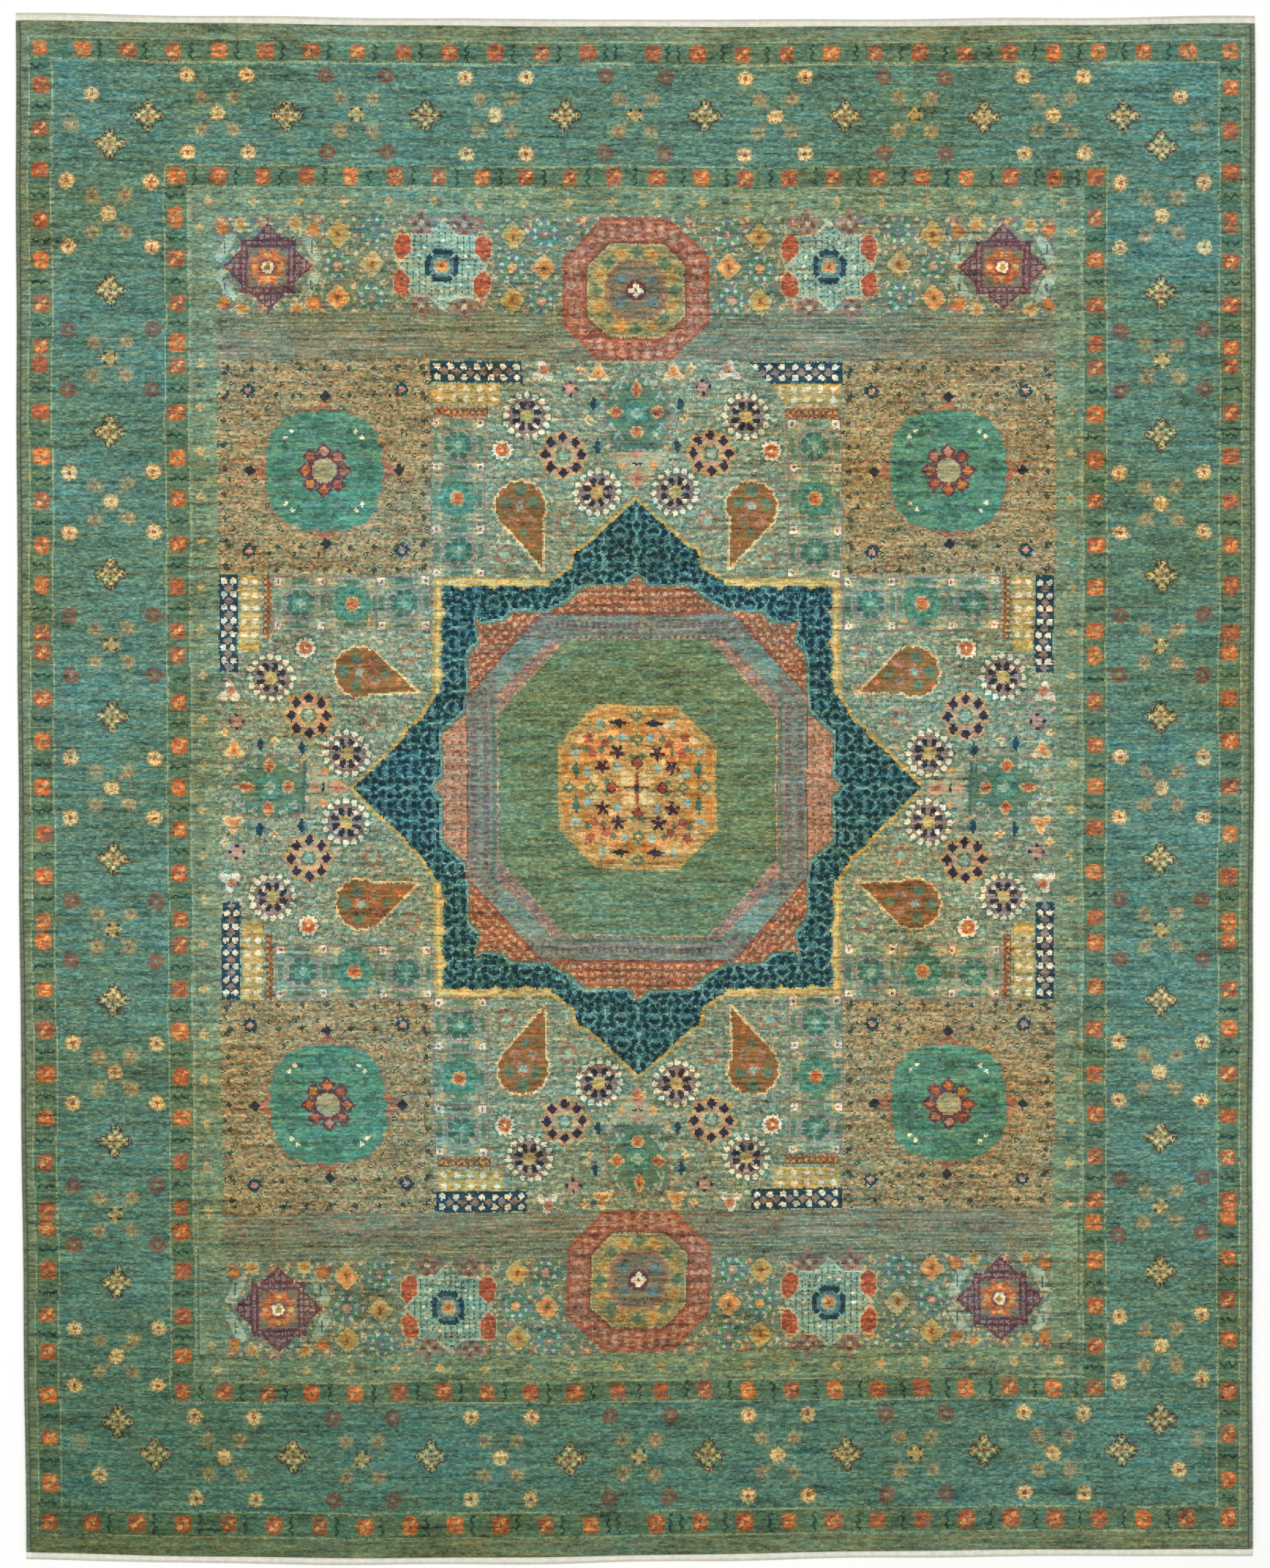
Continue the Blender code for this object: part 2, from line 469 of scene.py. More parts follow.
def panel(fill, x1, x2, y1, y2):
    """A plain rectangle between two distances across and two along, in all four quarters."""
    draw(fill, block((x2 - x1) / 2, (y2 - y1) / 2), (x1 + x2) / 2, (y1 + y2) / 2, 1500)


PANEL_HALF, PANEL_TOP, BAND_TOP, FIELD_TOP = 822, 1126, 938, 842
panel_ground = yarn("#748468", "#5f7a62", 0.3, "#8c9478", 0.25)
leaf_green = yarn("#64795d", "#55694f", 0.35)
rose = yarn("#a27862", "#8f6856", 0.35)
blush = yarn("#bd937d", "#a98570", 0.35)
band_shade = yarn("#6c765c", "#5f6b54", 0.3, "#7f856a", 0.25)
band_light = yarn("#868c73", "#767f66", 0.3, "#999c84", 0.28)
band_rose = yarn("#7a7f69", "#8c6e5c", 0.2, "#677560", 0.3)
maroon = yarn("#633f46", "#734c51", 0.35)
dull_maroon = yarn("#86756c", "#74605c", 0.3, "#958b7c", 0.3)
mint = yarn("#8fa992", "#a3b99c", 0.28, "#7a9783", 0.3)
red_lobe = yarn("#a9573f", "#944633", 0.3, "#bb6f4e", 0.25)
pale_leaf = yarn("#a6b298", "#8fa287", 0.35)
mint_line = yarn("#44695c", "#55796a", 0.3)
pale_cream = yarn("#e9ddb8", "#dccb9c", 0.3)
navy = yarn("#23404a", "#34545a", 0.25)
brick = yarn("#9d5c46", "#8a4e3b", 0.35, "#ae6f57", 0.2)
coral = yarn("#a06f56", "#8c5d47", 0.32, "#b48367", 0.25)
octagon_gold = yarn("#948a5d", "#807b50", 0.3, "#aa9c6a", 0.25)
stone = yarn("#7d7762", "#6d6955", 0.35)
garnet = yarn("#84503f", "#8f4a4c", 0.3)
amber = yarn("#bd8444", "#a87339", 0.3)
lagoon = yarn("#55886f", "#497962", 0.3, "#6a9a80", 0.26)
dusk = yarn("#8f7c6e", "#7f6d60", 0.35)
cool_cream = yarn("#bbb697", "#a8a589", 0.35)
slate = yarn("#637f7d", "#53706f", 0.35)

panel(panel_ground, 0, PANEL_HALF, BAND_TOP, PANEL_TOP)
FILLER = (
    "...cc.....mm......b.",
    "..cSSc...mmmm....bbb",
    "..cSSc...mmm..g...b.",
    "...cc........gg.....",
    "k.....b.....g..k..t.",
    "...g.bbb...cc.....tt",
    "..gg..b...cccc...tt.",
    "...g....g..cc.g.....",
    ".m.....tt.....mm...k",
    "mmm...ttt....mcm.cc.",
    ".m..k..t..b..mm..cc.",
    "..g......bbb........",
    "...cc.....b....ggg..",
    "k..ccc.mm...tt..g..b",
    "....c..mmm..tt......",
)
repeat(
    FILLER,
    {
        "g": leaf_green,
        "c": cool_cream,
        "m": dusk,
        "b": slate,
        "t": straw,
        "S": rose,
        "k": walnut,
    },
    panel_ground,
    drop=9,
)
for place in (104, 208, 312, 416, 520, 624, 728, 812):
    for y in (1116, 948):
        draw(rose, flower(14, 4, 0.3), place, y, 18, only=[panel_ground, leaf_green, rose])
        draw(straw, disc(5), place, y, 18)

# Rose stripes and specks cross the half of the band next to the field, and darker stripes the other.
for line in range(12):
    y1 = FIELD_TOP + 8 * line
    lower = line < 7
    panel(band_rose if lower else band_shade, 0, PANEL_HALF, y1, y1 + 5)
    panel(band_light, 0, PANEL_HALF, y1 + 5, y1 + 8)
SPECKS = ("..r..o....", "..........", ".....r..o.", "..........")
repeat(SPECKS, {"r": rose, "o": leaf_green}, band_rose, drop=3)


def gold_diamond(x, y, wool):
    """A round-shouldered diamond with a dark green edge, lighter tips and an orange heart."""
    draw(leaf_green, octagon(27, 29, 4, 5), x, y, 36)
    draw(straw, octagon(24, 26, 3, 4), x, y, 36)
    draw(wool, octagon(19, 20, 4, 5), x, y, 36)
    draw(amber, diamond(11, 12), x, y, 36)
    draw(walnut, diamond(5, 6), x, y, 36)


def sea_blossom(x, y, heart):
    """A larger blossom in blue, teal and cream petals, loosely drawn."""
    draw(leaf_green, flower(32, 8, 0.2), x, y, 36)
    draw(slate, ring_of(4, 21, disc(9)), x, y, 36)
    draw(lagoon, ring_of(4, 20, disc(8), pi / 4), x, y, 36)
    draw(cool_cream, ring_of(8, 21, disc(3.8), pi / 8), x, y, 36)
    draw(heart, disc(9), x, y, 36)
    draw(cool_cream, disc(3), x, y, 36)


def eight_star(fill, x, y, reach, rim, rim_width):
    """A square and a diamond laid over each other, inside a narrow rim of another yarn."""
    for size, wool in ((reach, rim), (reach - rim_width * 1.4, fill)):
        draw(wool, block(size * 0.7), x, y, reach + 4)
        draw(wool, diamond(size), x, y, reach + 4)


def maroon_star(x, y):
    """A dark latticed square laid over a latticed diamond, with pale leaves at its two sides."""
    for side in (1, -1):
        leaf = outline((60, 62), (84, 60), (106, 16), (90, 4))
        draw(pale_leaf, lambda a, b: leaf(side * a, np.abs(b)), x, y, 110)
    draw(mint_line, spots(block(1.6, 12), (86, 36)), x, y, 120)
    draw(ember, spots(flower(13, 5, 0.25), (89, 72)), x, y, 120)
    draw(straw, spots(flower(17, 8, 0.3), (53, 82)), x, y, 120)
    draw(amber, spots(disc(7), (53, 82), (89, 72)), x, y, 120)
    draw(maroon, diamond(88, 85), x, y, 92)
    draw(dull_maroon, diamond(82, 79), x, y, 92)
    draw(maroon, block(54, 53), x, y, 92)
    draw(dull_maroon, block(50, 49), x, y, 92)
    points = lambda a, b: np.maximum(np.abs(a), np.abs(b)) > 43
    rungs = lambda a, b: (((a + 90) % 12 < 3) | ((b + 91) % 12 < 3)) & points(a, b)
    draw(maroon, rungs, x, y, 92, only=[dull_maroon])
    draw(maroon, spots(block(5, 5), (48, 47)), x, y, 92)
    draw(maroon, block(44, 43), x, y, 60)
    draw(stone, block(39, 38), x, y, 60)
    draw(coral, flower(40, 8, 0.2, pi / 8), x, y, 60)
    draw(ember, ring_of(8, 25, disc(9), pi / 8), x, y, 60)
    draw(flame, ring_of(4, 25, disc(6)), x, y, 60)
    draw(brick, disc(17), x, y, 60)
    draw(pale_cream, disc(12), x, y, 60)
    draw(amber, disc(6.4), x, y, 60)


def mint_star(x, y):
    """A pale latticed star round a dark wheel, with red lobes at its sides and brown scrolls above."""
    draw(straw, spots(octagon(20, 28, 8, 14), (77, 35)), x, y, 120)
    draw(red_lobe, spots(octagon(17, 25, 7, 12), (77, 35)), x, y, 120)
    draw(ember, spots(ring_of(5, 10, disc(3)), (78, 36)), x, y, 120)
    draw(dusk, spots(flower(29, 5, 0.5), (42, 82)), x, y, 120)
    draw(walnut, spots(ring_of(4, 12, disc(5)), (42, 80)), x, y, 120)
    draw(cool_cream, spots(disc(5), (42, 82)), x, y, 120)
    eight_star(mint, x, y, 90, cool_cream, 4)
    lattice = lambda a, b: ((a + 90) % 12 < 3.2) & ((b + 90) % 9 < 5) & (np.hypot(a, b) > 36)
    draw(mint_line, lattice, x, y, 84, only=[mint])
    draw(pale_cream, ring_of(16, 50, disc(3)), x, y, 92, only=[mint, mint_line])
    draw(navy, octagon(33, 33, 15, 15), x, y, 92)
    draw(mint, lambda a, b: (np.abs(np.abs(a) - np.abs(b)) < 3) & (np.hypot(a, b) < 36), x, y, 92)
    draw(slate, octagon(23, 23, 10, 10), x, y, 92)
    draw(mint, octagon(16, 16, 8, 8), x, y, 92)
    draw(flame, octagon(12, 12, 6, 6), x, y, 92)
    draw(brick, disc(4), x, y, 92)


def red_octagon(y):
    """The panel's middle motif: rings of red, yellow-green and brown wool round a cream cross."""
    draw(brick, octagon(143, 141, 68, 67), 0, y, 150)
    draw(coral, octagon(137, 135, 65, 64), 0, y, 150)
    for distance, count in ((106, 26), (121, 30), (132, 34)):
        draw(blush, ring_of(count, distance, disc(5)), 0, y, 150, only=[coral])
        draw(garnet, ring_of(count, distance + 2, disc(3.6), pi / count), 0, y, 150, only=[coral])
    draw(garnet, ring_of(4, 124, flower(9, 4, 0.3), pi / 4), 0, y, 150)
    draw(brick, octagon(103, 101, 56, 55), 0, y, 150)
    draw(walnut, octagon(98, 97, 53, 53), 0, y, 150)
    draw(straw, octagon(94, 93, 51, 51), 0, y, 150)
    draw(octagon_gold, octagon(91, 90, 50, 50), 0, y, 150)
    draw(leaf_green, ring_of(8, 77, flower(13, 4, 0.4)), 0, y, 150, only=[octagon_gold])
    draw(gold, ring_of(8, 77, flower(15, 4, 0.4), pi / 8), 0, y, 150, only=[octagon_gold, leaf_green])
    draw(amber, ring_of(8, 77, disc(6), pi / 8), 0, y, 150)
    draw(straw, ring_of(24, 66, disc(3), pi / 24), 0, y, 150, only=[octagon_gold, leaf_green])
    draw(coral, octagon(58, 58, 30, 30), 0, y, 150)
    draw(stone, octagon(53, 53, 27, 27), 0, y, 150)
    draw(slate, spots(octagon(10, 9, 5, 4), (30, 23)), 0, y, 150)
    draw(walnut, ring_of(20, 45, disc(2.6)), 0, y, 150)
    draw(maroon, octagon(20, 20, 9, 9), 0, y, 150)
    draw(pale_cream, ring_of(4, 8.5, disc(6)), 0, y, 150)
    draw(maroon, disc(2.6), 0, y, 150)


for x, y, wool in (
    (583, 1091, gold),
    (583, 966, flame),
    (516, 1033, straw),
    (242, 1090, gold),
    (242, 962, gold),
    (181, 1029, flame),
):
    gold_diamond(x, y, wool)
for x, y, wool in (
    (583, 1029, blush),
    (515, 1099, slate),
    (517, 966, dusk),
    (243, 1027, flame),
    (180, 1095, dusk),
    (186, 962, blush),
):
    sea_blossom(x, y, wool)
for x, y in ((640, 1100), (640, 962), (460, 1095), (302, 1092), (300, 962), (636, 1030)):
    draw(straw, flower(12, 8, 0.35), x, y, 18)
    draw(rose, disc(5), x, y, 18)
maroon_star(720, 1028)
mint_star(379, 1030)
red_octagon(981)

# The tan squares: a mottled ground with dark sprigs and small stars, then the lobed medallion.
tan_ground = yarn("#998b65", "#7c7350", 0.3, "#b3a47c", 0.32)
leaf_rust = yarn("#8b6038", "#75693e", 0.32, "#a06c44", 0.25)
tan_dark = yarn("#3d463c", "#585c49", 0.3)
deep_lagoon = yarn("#4b7a66", "#3f6c5c", 0.35, "#5b8d76", 0.2)
heart_olive = yarn("#a3a27c", "#8f9069", 0.35)
night = yarn("#2c2f35", "#3b3d40", 0.3)
tan_leaf = yarn("#66775a", "#55674c", 0.3)
SPRIGS = (
    "k.......l.......",
    "Ck.....ll..o....",
    "k...o......oo..l",
    "...oo...m.......",
    "..l.....mm....l.",
    "..ll.......t....",
    "......k..l..tt..",
    ".t...k........m.",
    "tt......kk...mm.",
    "..l....kCCk.....",
    "...m....kk..l...",
    "...mm......ll..t",
    ".l.....t........",
    "ll..o...tt..m...",
    "....oo....l.mm..",
    "l.......t.......",
)
panel(tan_ground, 405, PANEL_HALF, 419, FIELD_TOP)
repeat(
    SPRIGS,
    {"l": tan_leaf, "o": leaf_rust, "k": tan_dark, "C": straw, "m": dusk, "t": straw},
    tan_ground,
    drop=8,
)
MEDALLION = (612, 625)


def lobed_square(half_x, half_y, swell, scallop=2.5):
    """A square with round shoulders and sixteen shallow scallops along its rim."""
    def test(x, y):
        angle = np.arctan2(x, y)
        spread = (np.abs(x / half_x) ** swell + np.abs(y / half_y) ** swell) ** (1 / swell)
        return spread < 1 + scallop / half_x * np.cos(20 * angle)
    return test


def small_star(x, y, wool, heart, size=16):
    draw(wool, diamond(size), x, y, size + 3)
    draw(wool, block(size * 0.62), x, y, size + 3)
    draw(heart, disc(size * 0.4), x, y, size + 3)


for x, y in ((150, 158), (150, -158), (-150, 158), (-150, -158)):
    small_star(MEDALLION[0] + x, MEDALLION[1] + y, navy, blush)
for along in (-190, -142, -95, -48, 0, 48, 95, 142, 190):
    for x, y in ((along, 201), (along, 150), (along, -150), (along, -196), (-195, along), (196, along)):
        draw(tan_dark, flower(6.5, 4, 0.4), MEDALLION[0] + x, MEDALLION[1] + y, 14)
for side, wool in ((1, coral), (-1, rose)):
    for x, y in ((160 * side, 0), (0, 160 * side)):
        draw(wool, ring_of(8, 22, disc(3.2)), MEDALLION[0] + x, MEDALLION[1] + y, 40)
draw(coral, lobed_square(119, 123, 2.7), *MEDALLION, 150)
draw(tan_ground, ring_of(20, 134, disc(13), pi / 20), *MEDALLION, 150, only=[coral])
draw(coral, ring_of(4, 121, diamond(20)), *MEDALLION, 150)
for x, y in ((0, 147), (0, -145), (146, 0), (-147, 0)):
    draw(night, diamond(12), MEDALLION[0] + x, MEDALLION[1] + y, 30)
draw(lagoon, lobed_square(115, 119, 2.7), *MEDALLION, 150)
draw(deep_lagoon, ring_of(4, 84, flower(26, 5, 0.4), 0), *MEDALLION, 150)
draw(mint_line, ring_of(16, 92, flower(9, 3, 0.5), pi / 16), *MEDALLION, 150)
draw(slate, ring_of(8, 74, flower(8, 4, 0.4), pi / 8), *MEDALLION, 150)
draw(pale_cream, spots(disc(4.2), (75, 66), (63, 78)), *MEDALLION, 150)
draw(maroon, ring_of(8, 38, diamond(17)), *MEDALLION, 150)
draw(maroon, disc(33), *MEDALLION, 150)
petals = (blush, brick, ember, amber, ember, brick, coral, rose)
for step, wool in enumerate(petals):
    angle = pi / 4 * step
    x, y = MEDALLION[0] + 37.5 * np.sin(angle), MEDALLION[1] + 37.5 * np.cos(angle)
    draw(wool, diamond(11) if step % 2 == 0 else block(7.5), x, y, 20)
draw(maroon, disc(27), *MEDALLION, 150)
draw(heart_olive, disc(24), *MEDALLION, 150)


# ---- The weaver's draft: the cross-shaped field ----
# Four arms reach out between the corner squares on light sage wool: lattice bars, rows of small
# framed rosettes, chains of white-petalled flowers, leaf drops, and a small cross in each arm.

sage = yarn("#84937a", "#6c8569", 0.32, "#a5aa8c", 0.25)
mauve = yarn("#8d7d76", "#7b6b66", 0.3, "#a1928a", 0.2)
dart_sage = yarn("#9a9f80", "#b0a885", 0.35)
field_green = yarn("#587560", "#67805f", 0.35)
white = yarn("#dcd4b8", "#cabf9d", 0.3)
deep_frame = yarn("#47705f", "#3b614f", 0.32)
olive_gold = yarn("#b7a05c", "#9d8a4c", 0.3, "#cdb676", 0.2)

panel(sage, 0, 405, 0, FIELD_TOP)
panel(sage, 405, PANEL_HALF, 0, 419)
STRAYS = (
    "g..cc....m......g.",
    "gg..c...mmm..g....",
    ".g.......m..gg..b.",
    "....r...........bb",
    "..g.rr..g..cc..g..",
    ".gg.....gg..c...g.",
    "......m.....g.....",
    "c..g..mm..g......c",
    "cc.g.....gg..r..cc",
    "......b.......r...",
    ".g...bbb..m......g",
    ".gg...b..mm.g..t..",
    "...........gg..tt.",
)
repeat(
    STRAYS,
    {"g": field_green, "c": cool_cream, "r": rose, "b": mint, "m": dusk, "t": straw},
    sage,
    drop=7,
)


def studded_bar(x1, x2, y1, y2, ground, along_x):
    """A bar with two rows of round cream studs and grey diamonds set between them."""
    panel(ground, x1, x2, y1, y2)
    length, width = (x2 - x1, y2 - y1) if along_x else (y2 - y1, x2 - x1)
    for step in range(int(length / 26)):
        for share in (0.25, 0.75):
            place, rank = 14 + 26 * step, share * width
            x, y = (x2 - place, y1 + rank) if along_x else (x1 + rank, y2 - place)
            draw(white, disc(6.3), x, y, 10)
            if share < 0.5:
                x, y = (x - 13, y1 + width / 2) if along_x else (x1 + width / 2, y - 13)
                draw(dusk if ground == navy else straw, diamond(9.5), x, y, 12, only=[ground])


studded_bar(223, 405, 799, 841, navy, True)
studded_bar(269, 401, 755, 798, olive_gold, True)
panel(walnut, 292, 399, 730, 749)
repeat(("rr..", "rr..", "..oo", "..oo"), {"r": rust, "o": gold}, walnut, box=(290, 400, 728, 750))
studded_bar(783, 819, 226, 418, navy, False)
studded_bar(739, 779, 266, 418, olive_gold, False)
panel(walnut, 719, 734, 290, 418)
repeat(("rr..", "rr..", "..oo", "..oo"), {"r": rust, "o": gold}, walnut, box=(718, 735, 288, 419))
draw(sage, outline((222, 798), (222, 843), (262, 798)), reach=900)
draw(sage, outline((262, 754), (262, 799), (296, 754)), reach=900)


def framed_rosette(x, y, bright):
    """A small compartment: cream corner squares, and a lobed rosette or an octagon in its middle."""
    draw(dusk, block(54), x, y, 60)
    draw(sage, block(51), x, y, 60)
    draw(field_green, spots(block(16, 5), (0, 44)), x, y, 60)
    draw(field_green, spots(block(5, 16), (44, 0)), x, y, 60)
    draw(straw, spots(block(4, 9), (33, 38)), x, y, 60)
    if bright:
        draw(field_green, flower(42, 8, 0.16), x, y, 60)
        draw(lagoon, flower(38, 8, 0.2), x, y, 60)
        draw(deep_frame, ring_of(8, 22, flower(6, 3, 0.5)), x, y, 60)
        draw(straw, disc(14.5), x, y, 60)
        draw(ember, disc(12), x, y, 60)
        draw(rust, disc(5), x, y, 60)
    else:
        draw(mauve, octagon(33, 33, 16, 16), x, y, 60)
        draw(sage, octagon(29.5, 29.5, 14, 14), x, y, 60)
        draw(mint_line, ring_of(8, 22, octagon(7, 7, 3, 3), pi / 8), x, y, 60)
        draw(lagoon, flower(19, 8, 0.3), x, y, 60)
        draw(mint, flower(9, 4, 0.3), x, y, 60)
        draw(dusk, disc(3), x, y - 20, 60)
    draw(straw if bright else white, spots(block(4 if bright else 7), (43, 43)), x, y, 64)
    draw(brick, spots(block(2.8), (43, 43)), x, y, 64, only=[white])


for x, y, bright in (
    (350, 675, False),
    (350, 570, True),
    (350, 465, False),
    (661, 363, False),
    (560, 363, True),
    (459, 363, False),
):
    framed_rosette(x, y, bright)


def daisy(x, y):
    """Sixteen white petals round a brown ring with eight black wedges and a gold heart."""
    draw(field_green, disc(49), x, y, 54)
    draw(stone, disc(39), x, y, 50)
    draw(white, ring_of(16, 42, disc(6)), x, y, 54)
    draw(mauve, disc(33), x, y, 50)
    draw(night, ring_of(8, 24, octagon(6.5, 6.5, 3, 3), pi / 8), x, y, 50)
    draw(mauve, ring_of(4, 27, disc(5)), x, y, 50)
    draw(white, ring_of(4, 26, disc(4.8), pi / 4), x, y, 50)
    draw(night, ring_of(8, 16, disc(3.2), pi / 8), x, y, 50)
    draw(olive_gold, disc(13), x, y, 50)
    draw(straw, disc(5), x, y, 50)


def tan_flower(x, y):
    """Eight tan lobes, each with a black tear in it, round a pale heart."""
    draw(gold, ring_of(8, 35, disc(15)), x, y, 60)
    draw(blush, ring_of(8, 35, disc(12)), x, y, 60)
    draw(blush, disc(30), x, y, 60)
    draw(straw, disc(24), x, y, 60)
    draw(night, ring_of(8, 35, diamond(10.5, 12)), x, y, 60)
    draw(field_green, disc(16), x, y, 60)
    draw(blush, ring_of(4, 15, disc(4)), x, y, 60)
    draw(mint, disc(9.5), x, y, 60)


def ring_flower(x, y, rim, petals, heart, size=19):
    draw(rim, flower(size + 3, 12, 0.1), x, y, 30)
    draw(petals, flower(size, 12, 0.2), x, y, 30)
    draw(heart, disc(size * 0.6), x, y, 30)
    draw(petals, disc(size * 0.15), x, y, 30)


for x, y in ((216, 733), (76, 583), (719, 216), (573, 68)):
    daisy(x, y)
for x, y in ((145, 658), (645, 141)):
    tan_flower(x, y)
for x, y in ((264, 665), (649, 274)):
    ring_flower(x, y, field_green, white, ember, 22)
for x, y in ((140, 524), (259, 456), (520, 135), (445, 265)):
    draw(rose, ring_of(8, 16, disc(5)), x, y, 30)
    draw(field_green, ring_of(8, 16, disc(2.2)), x, y, 30)
    draw(mint, disc(8), x, y, 30)


def leaf_drop(x, y, tip, turn=False):
    """A leaf drop: a scalloped round head narrowing to a point, with a fine gold line round it."""
    for extra, wool in ((4.4, cream), (0, leaf_rust)):
        tail = outline(
            (tip[0] - extra, tip[1] - 2.5 * extra),
            (-42 - extra, -12),
            (46 + extra, -24),
            (tip[0] + extra, tip[1] - extra),
        )
        bulb = flower(50 + extra, 14, 0.06)
        shape = lambda a, b, tail=tail, bulb=bulb: tail(a, b) | bulb(a, b)
        draw(wool, turned(shape) if turn else shape, x, y, 135)
    for a, b, size, wool in (
        (0, 32, 15, leaf_green),
        (-26, 8, 13, leaf_green),
        (28, 6, 13, leaf_green),
        (0, 0, 16, coral),
        (0, 0, 9, mint),
        (-18, -28, 12, coral),
        (16, -30, 12, coral),
        (-16, -30, 6, leaf_green),
        (-4, -50, 9, leaf_green),
        (-20, -76, 7, ember),
        (-34, 30, 6, rust),
        (36, 28, 6, rust),
    ):
        a, b = (b, a) if turn else (a, b)
        draw(wool, flower(size, 5, 0.3), x + a, y + b, 24, only=[leaf_rust, leaf_green, coral])


leaf_drop(226, 554, (-42, -121))
leaf_drop(544, 229, (-40, -109), turn=True)


def arm_cross(x, y, turn):
    """The small cross in the middle of each arm: a blue-green heart and four flame petals, set in a
    scrolled rounded square. Its longest petal points to the end of the rug's arm."""
    def place(fill, shape, a, b):
        a, b = (b, a) if turn else (a, b)
        draw(fill, turned(shape) if turn else shape, x + a, y + b, 90)

    place(dusk, lobed_square(64, 70, 4, 1), 0, 0)
    place(field_green, lobed_square(60, 66, 4, 1), 0, 0)
    place(mint_line, block(52, 3), 0, -69)
    for side in (1, -1):
        for a, b in ((38, 52), (46, 30), (50, -30), (36, -48), (24, 62)):
            place(mint, flower(11, 3, 0.5), side * a, b)
            place(dusk, flower(5, 3, 0.5), side * a, b - 2)
        place(straw, diamond(18, 15), side * 42, 1)
        place(ember, diamond(14, 11), side * 41, 1)
        place(brick, diamond(8, 7), side * 38, 1)
        place(straw, block(4, 8), side * 58, -70)
    for fill, shape, b in (
        (straw, diamond(12, 24), 46),
        (ember, diamond(9, 18), 44),
        (brick, block(3.4, 10), 44),
        (straw, disc(13), -38),
        (ember, disc(9.5), -38),
        (brick, block(3, 6), -36),
        (mint_line, octagon(26, 26, 13, 13), 0),
        (lagoon, octagon(23, 23, 12, 12), 0),
        (mint, flower(13, 4, 0.3), -2),
        (deep_frame, diamond(10, 8), 16),
    ):
        place(fill, shape, 0, b)


arm_cross(0, 740, False)
arm_cross(724, 0, True)
for x, y in ((74, 818), (794, 72)):
    draw(cream, flower(22, 3, 0.5), x, y, 26)
    draw(flame, flower(13, 3, 0.5), x, y, 24)
    draw(ember, disc(4), x, y, 24)
for x, y in ((184, 821), (802, 184)):
    draw(white, flower(24, 3, 0.6), x, y, 26)
    draw(blush, disc(10), x - 4, y + 6, 24)
    draw(ember, disc(5), x - 4, y + 6, 24)
for x, y in ((131, 789), (787, 128)):
    draw(mauve, flower(19, 5, 0.25), x, y, 24)
    draw(blush, disc(10), x, y, 24)
    draw(night, ring_of(4, 13, disc(3.6)), x, y, 24)
for x, y in ((85, 757), (78, 673), (742, 84), (660, 76)):
    draw(navy, diamond(9, 16), x, y, 20)
    draw(slate, diamond(5, 8), x - 8, y, 20)
for x, y in ((95, 727), (109, 827), (714, 92), (812, 108)):
    draw(cream, flower(10, 4, 0.5), x, y, 20)
    draw(ember, disc(2.6), x, y, 20)

# A paler dart and a small chain of blossoms run from each cross to the tip of the star.
draw(dart_sage, outline((-60, 0), (60, 0), (0, -74)), 0, 662, 80)
draw(dart_sage, outline((0, -50), (0, 50), (-60, 0)), 640, 0, 80)
for turn, far in ((False, 655), (True, 634)):
    for step, fill, shape in (
        (0, blush, diamond(13, 12)),
        (-16, night, diamond(11, 6)),
        (-12, dart_sage, diamond(8, 5)),
        (-44, straw, diamond(17, 26)),
        (-44, blush, diamond(13, 21)),
        (-46, ember, diamond(5, 11)),
    ):
        x, y = (far + step, 0) if turn else (0, far + step)
        draw(fill, turned(shape) if turn else shape, x, y, 40)
    for a in (32, -32):
        x, y = (far - 18, a) if turn else (a, far - 18)
        draw(flame, flower(9, 4, 0.4), x, y, 20)


# ---- The weaver's draft: the star medallion ----
# The heart of the rug is one great eight-pointed star: a deep blue-green band of dark leaves inside
# a gold line, a coral ring with hooked points, a grey band, a plain green octagon and a gold one.

star_teal = yarn("#376462", "#2a5050", 0.3, "#52807b", 0.2)
star_ink = yarn("#142e36", "#20424a", 0.25)
vine = yarn("#6a9488", "#57817a", 0.35, "#88aaa5", 0.2)
pale_gold = yarn("#cdbb80", "#bca766", 0.35)
star_gold = yarn("#b89c55", "#a88d45", 0.3, "#cbb56f", 0.2)
ring_coral = yarn("#94603f", "#7f4c36", 0.3, "#a97250", 0.22)
ring_tan = yarn("#a97f60", "#8f6b52", 0.3, "#ba9472", 0.25)
ring_cream = yarn("#bf9576", "#ae8263", 0.35)
grey_band = yarn("#78806f", "#6a7268", 0.28, "#8c9180", 0.25)
band_tick = yarn("#6d5f5b", "#7d6e68", 0.3)
slope_blue = yarn("#6f8b7c", "#5f7969", 0.3, "#8b988a", 0.25)
slope_rose = yarn("#917967", "#7f6b5c", 0.3, "#a58a76", 0.25)
olive_field = yarn("#667c5a", "#53694a", 0.28, "#7f9374", 0.26)
old_gold = yarn("#b9955a", "#a0804a", 0.28, "#cbae78", 0.26)
plum = yarn("#3f2b35", "#54414a", 0.3)
russet = yarn("#8f4b35", "#a05a3f", 0.3)
sky_blue = yarn("#557f86", "#476f77", 0.35)
sky = yarn("#8fb3ab", "#7ba198", 0.3)

STAR = (
    (0, 576),
    (108, 478),
    (125, 472),
    (132, 439),
    (161, 418),
    (173, 412),
    (400, 412),
    (400, 184),
    (418, 156),
    (426, 140),
    (454, 120),
    (462, 105),
    (568, 0),
    (0, 0),
)


def shrunk(corners, by):
    """The same corners with each moved this far towards both middle lines."""
    return tuple((max(x - by, 0) if x else 0, max(y - by, 0) if y else 0) for x, y in corners)


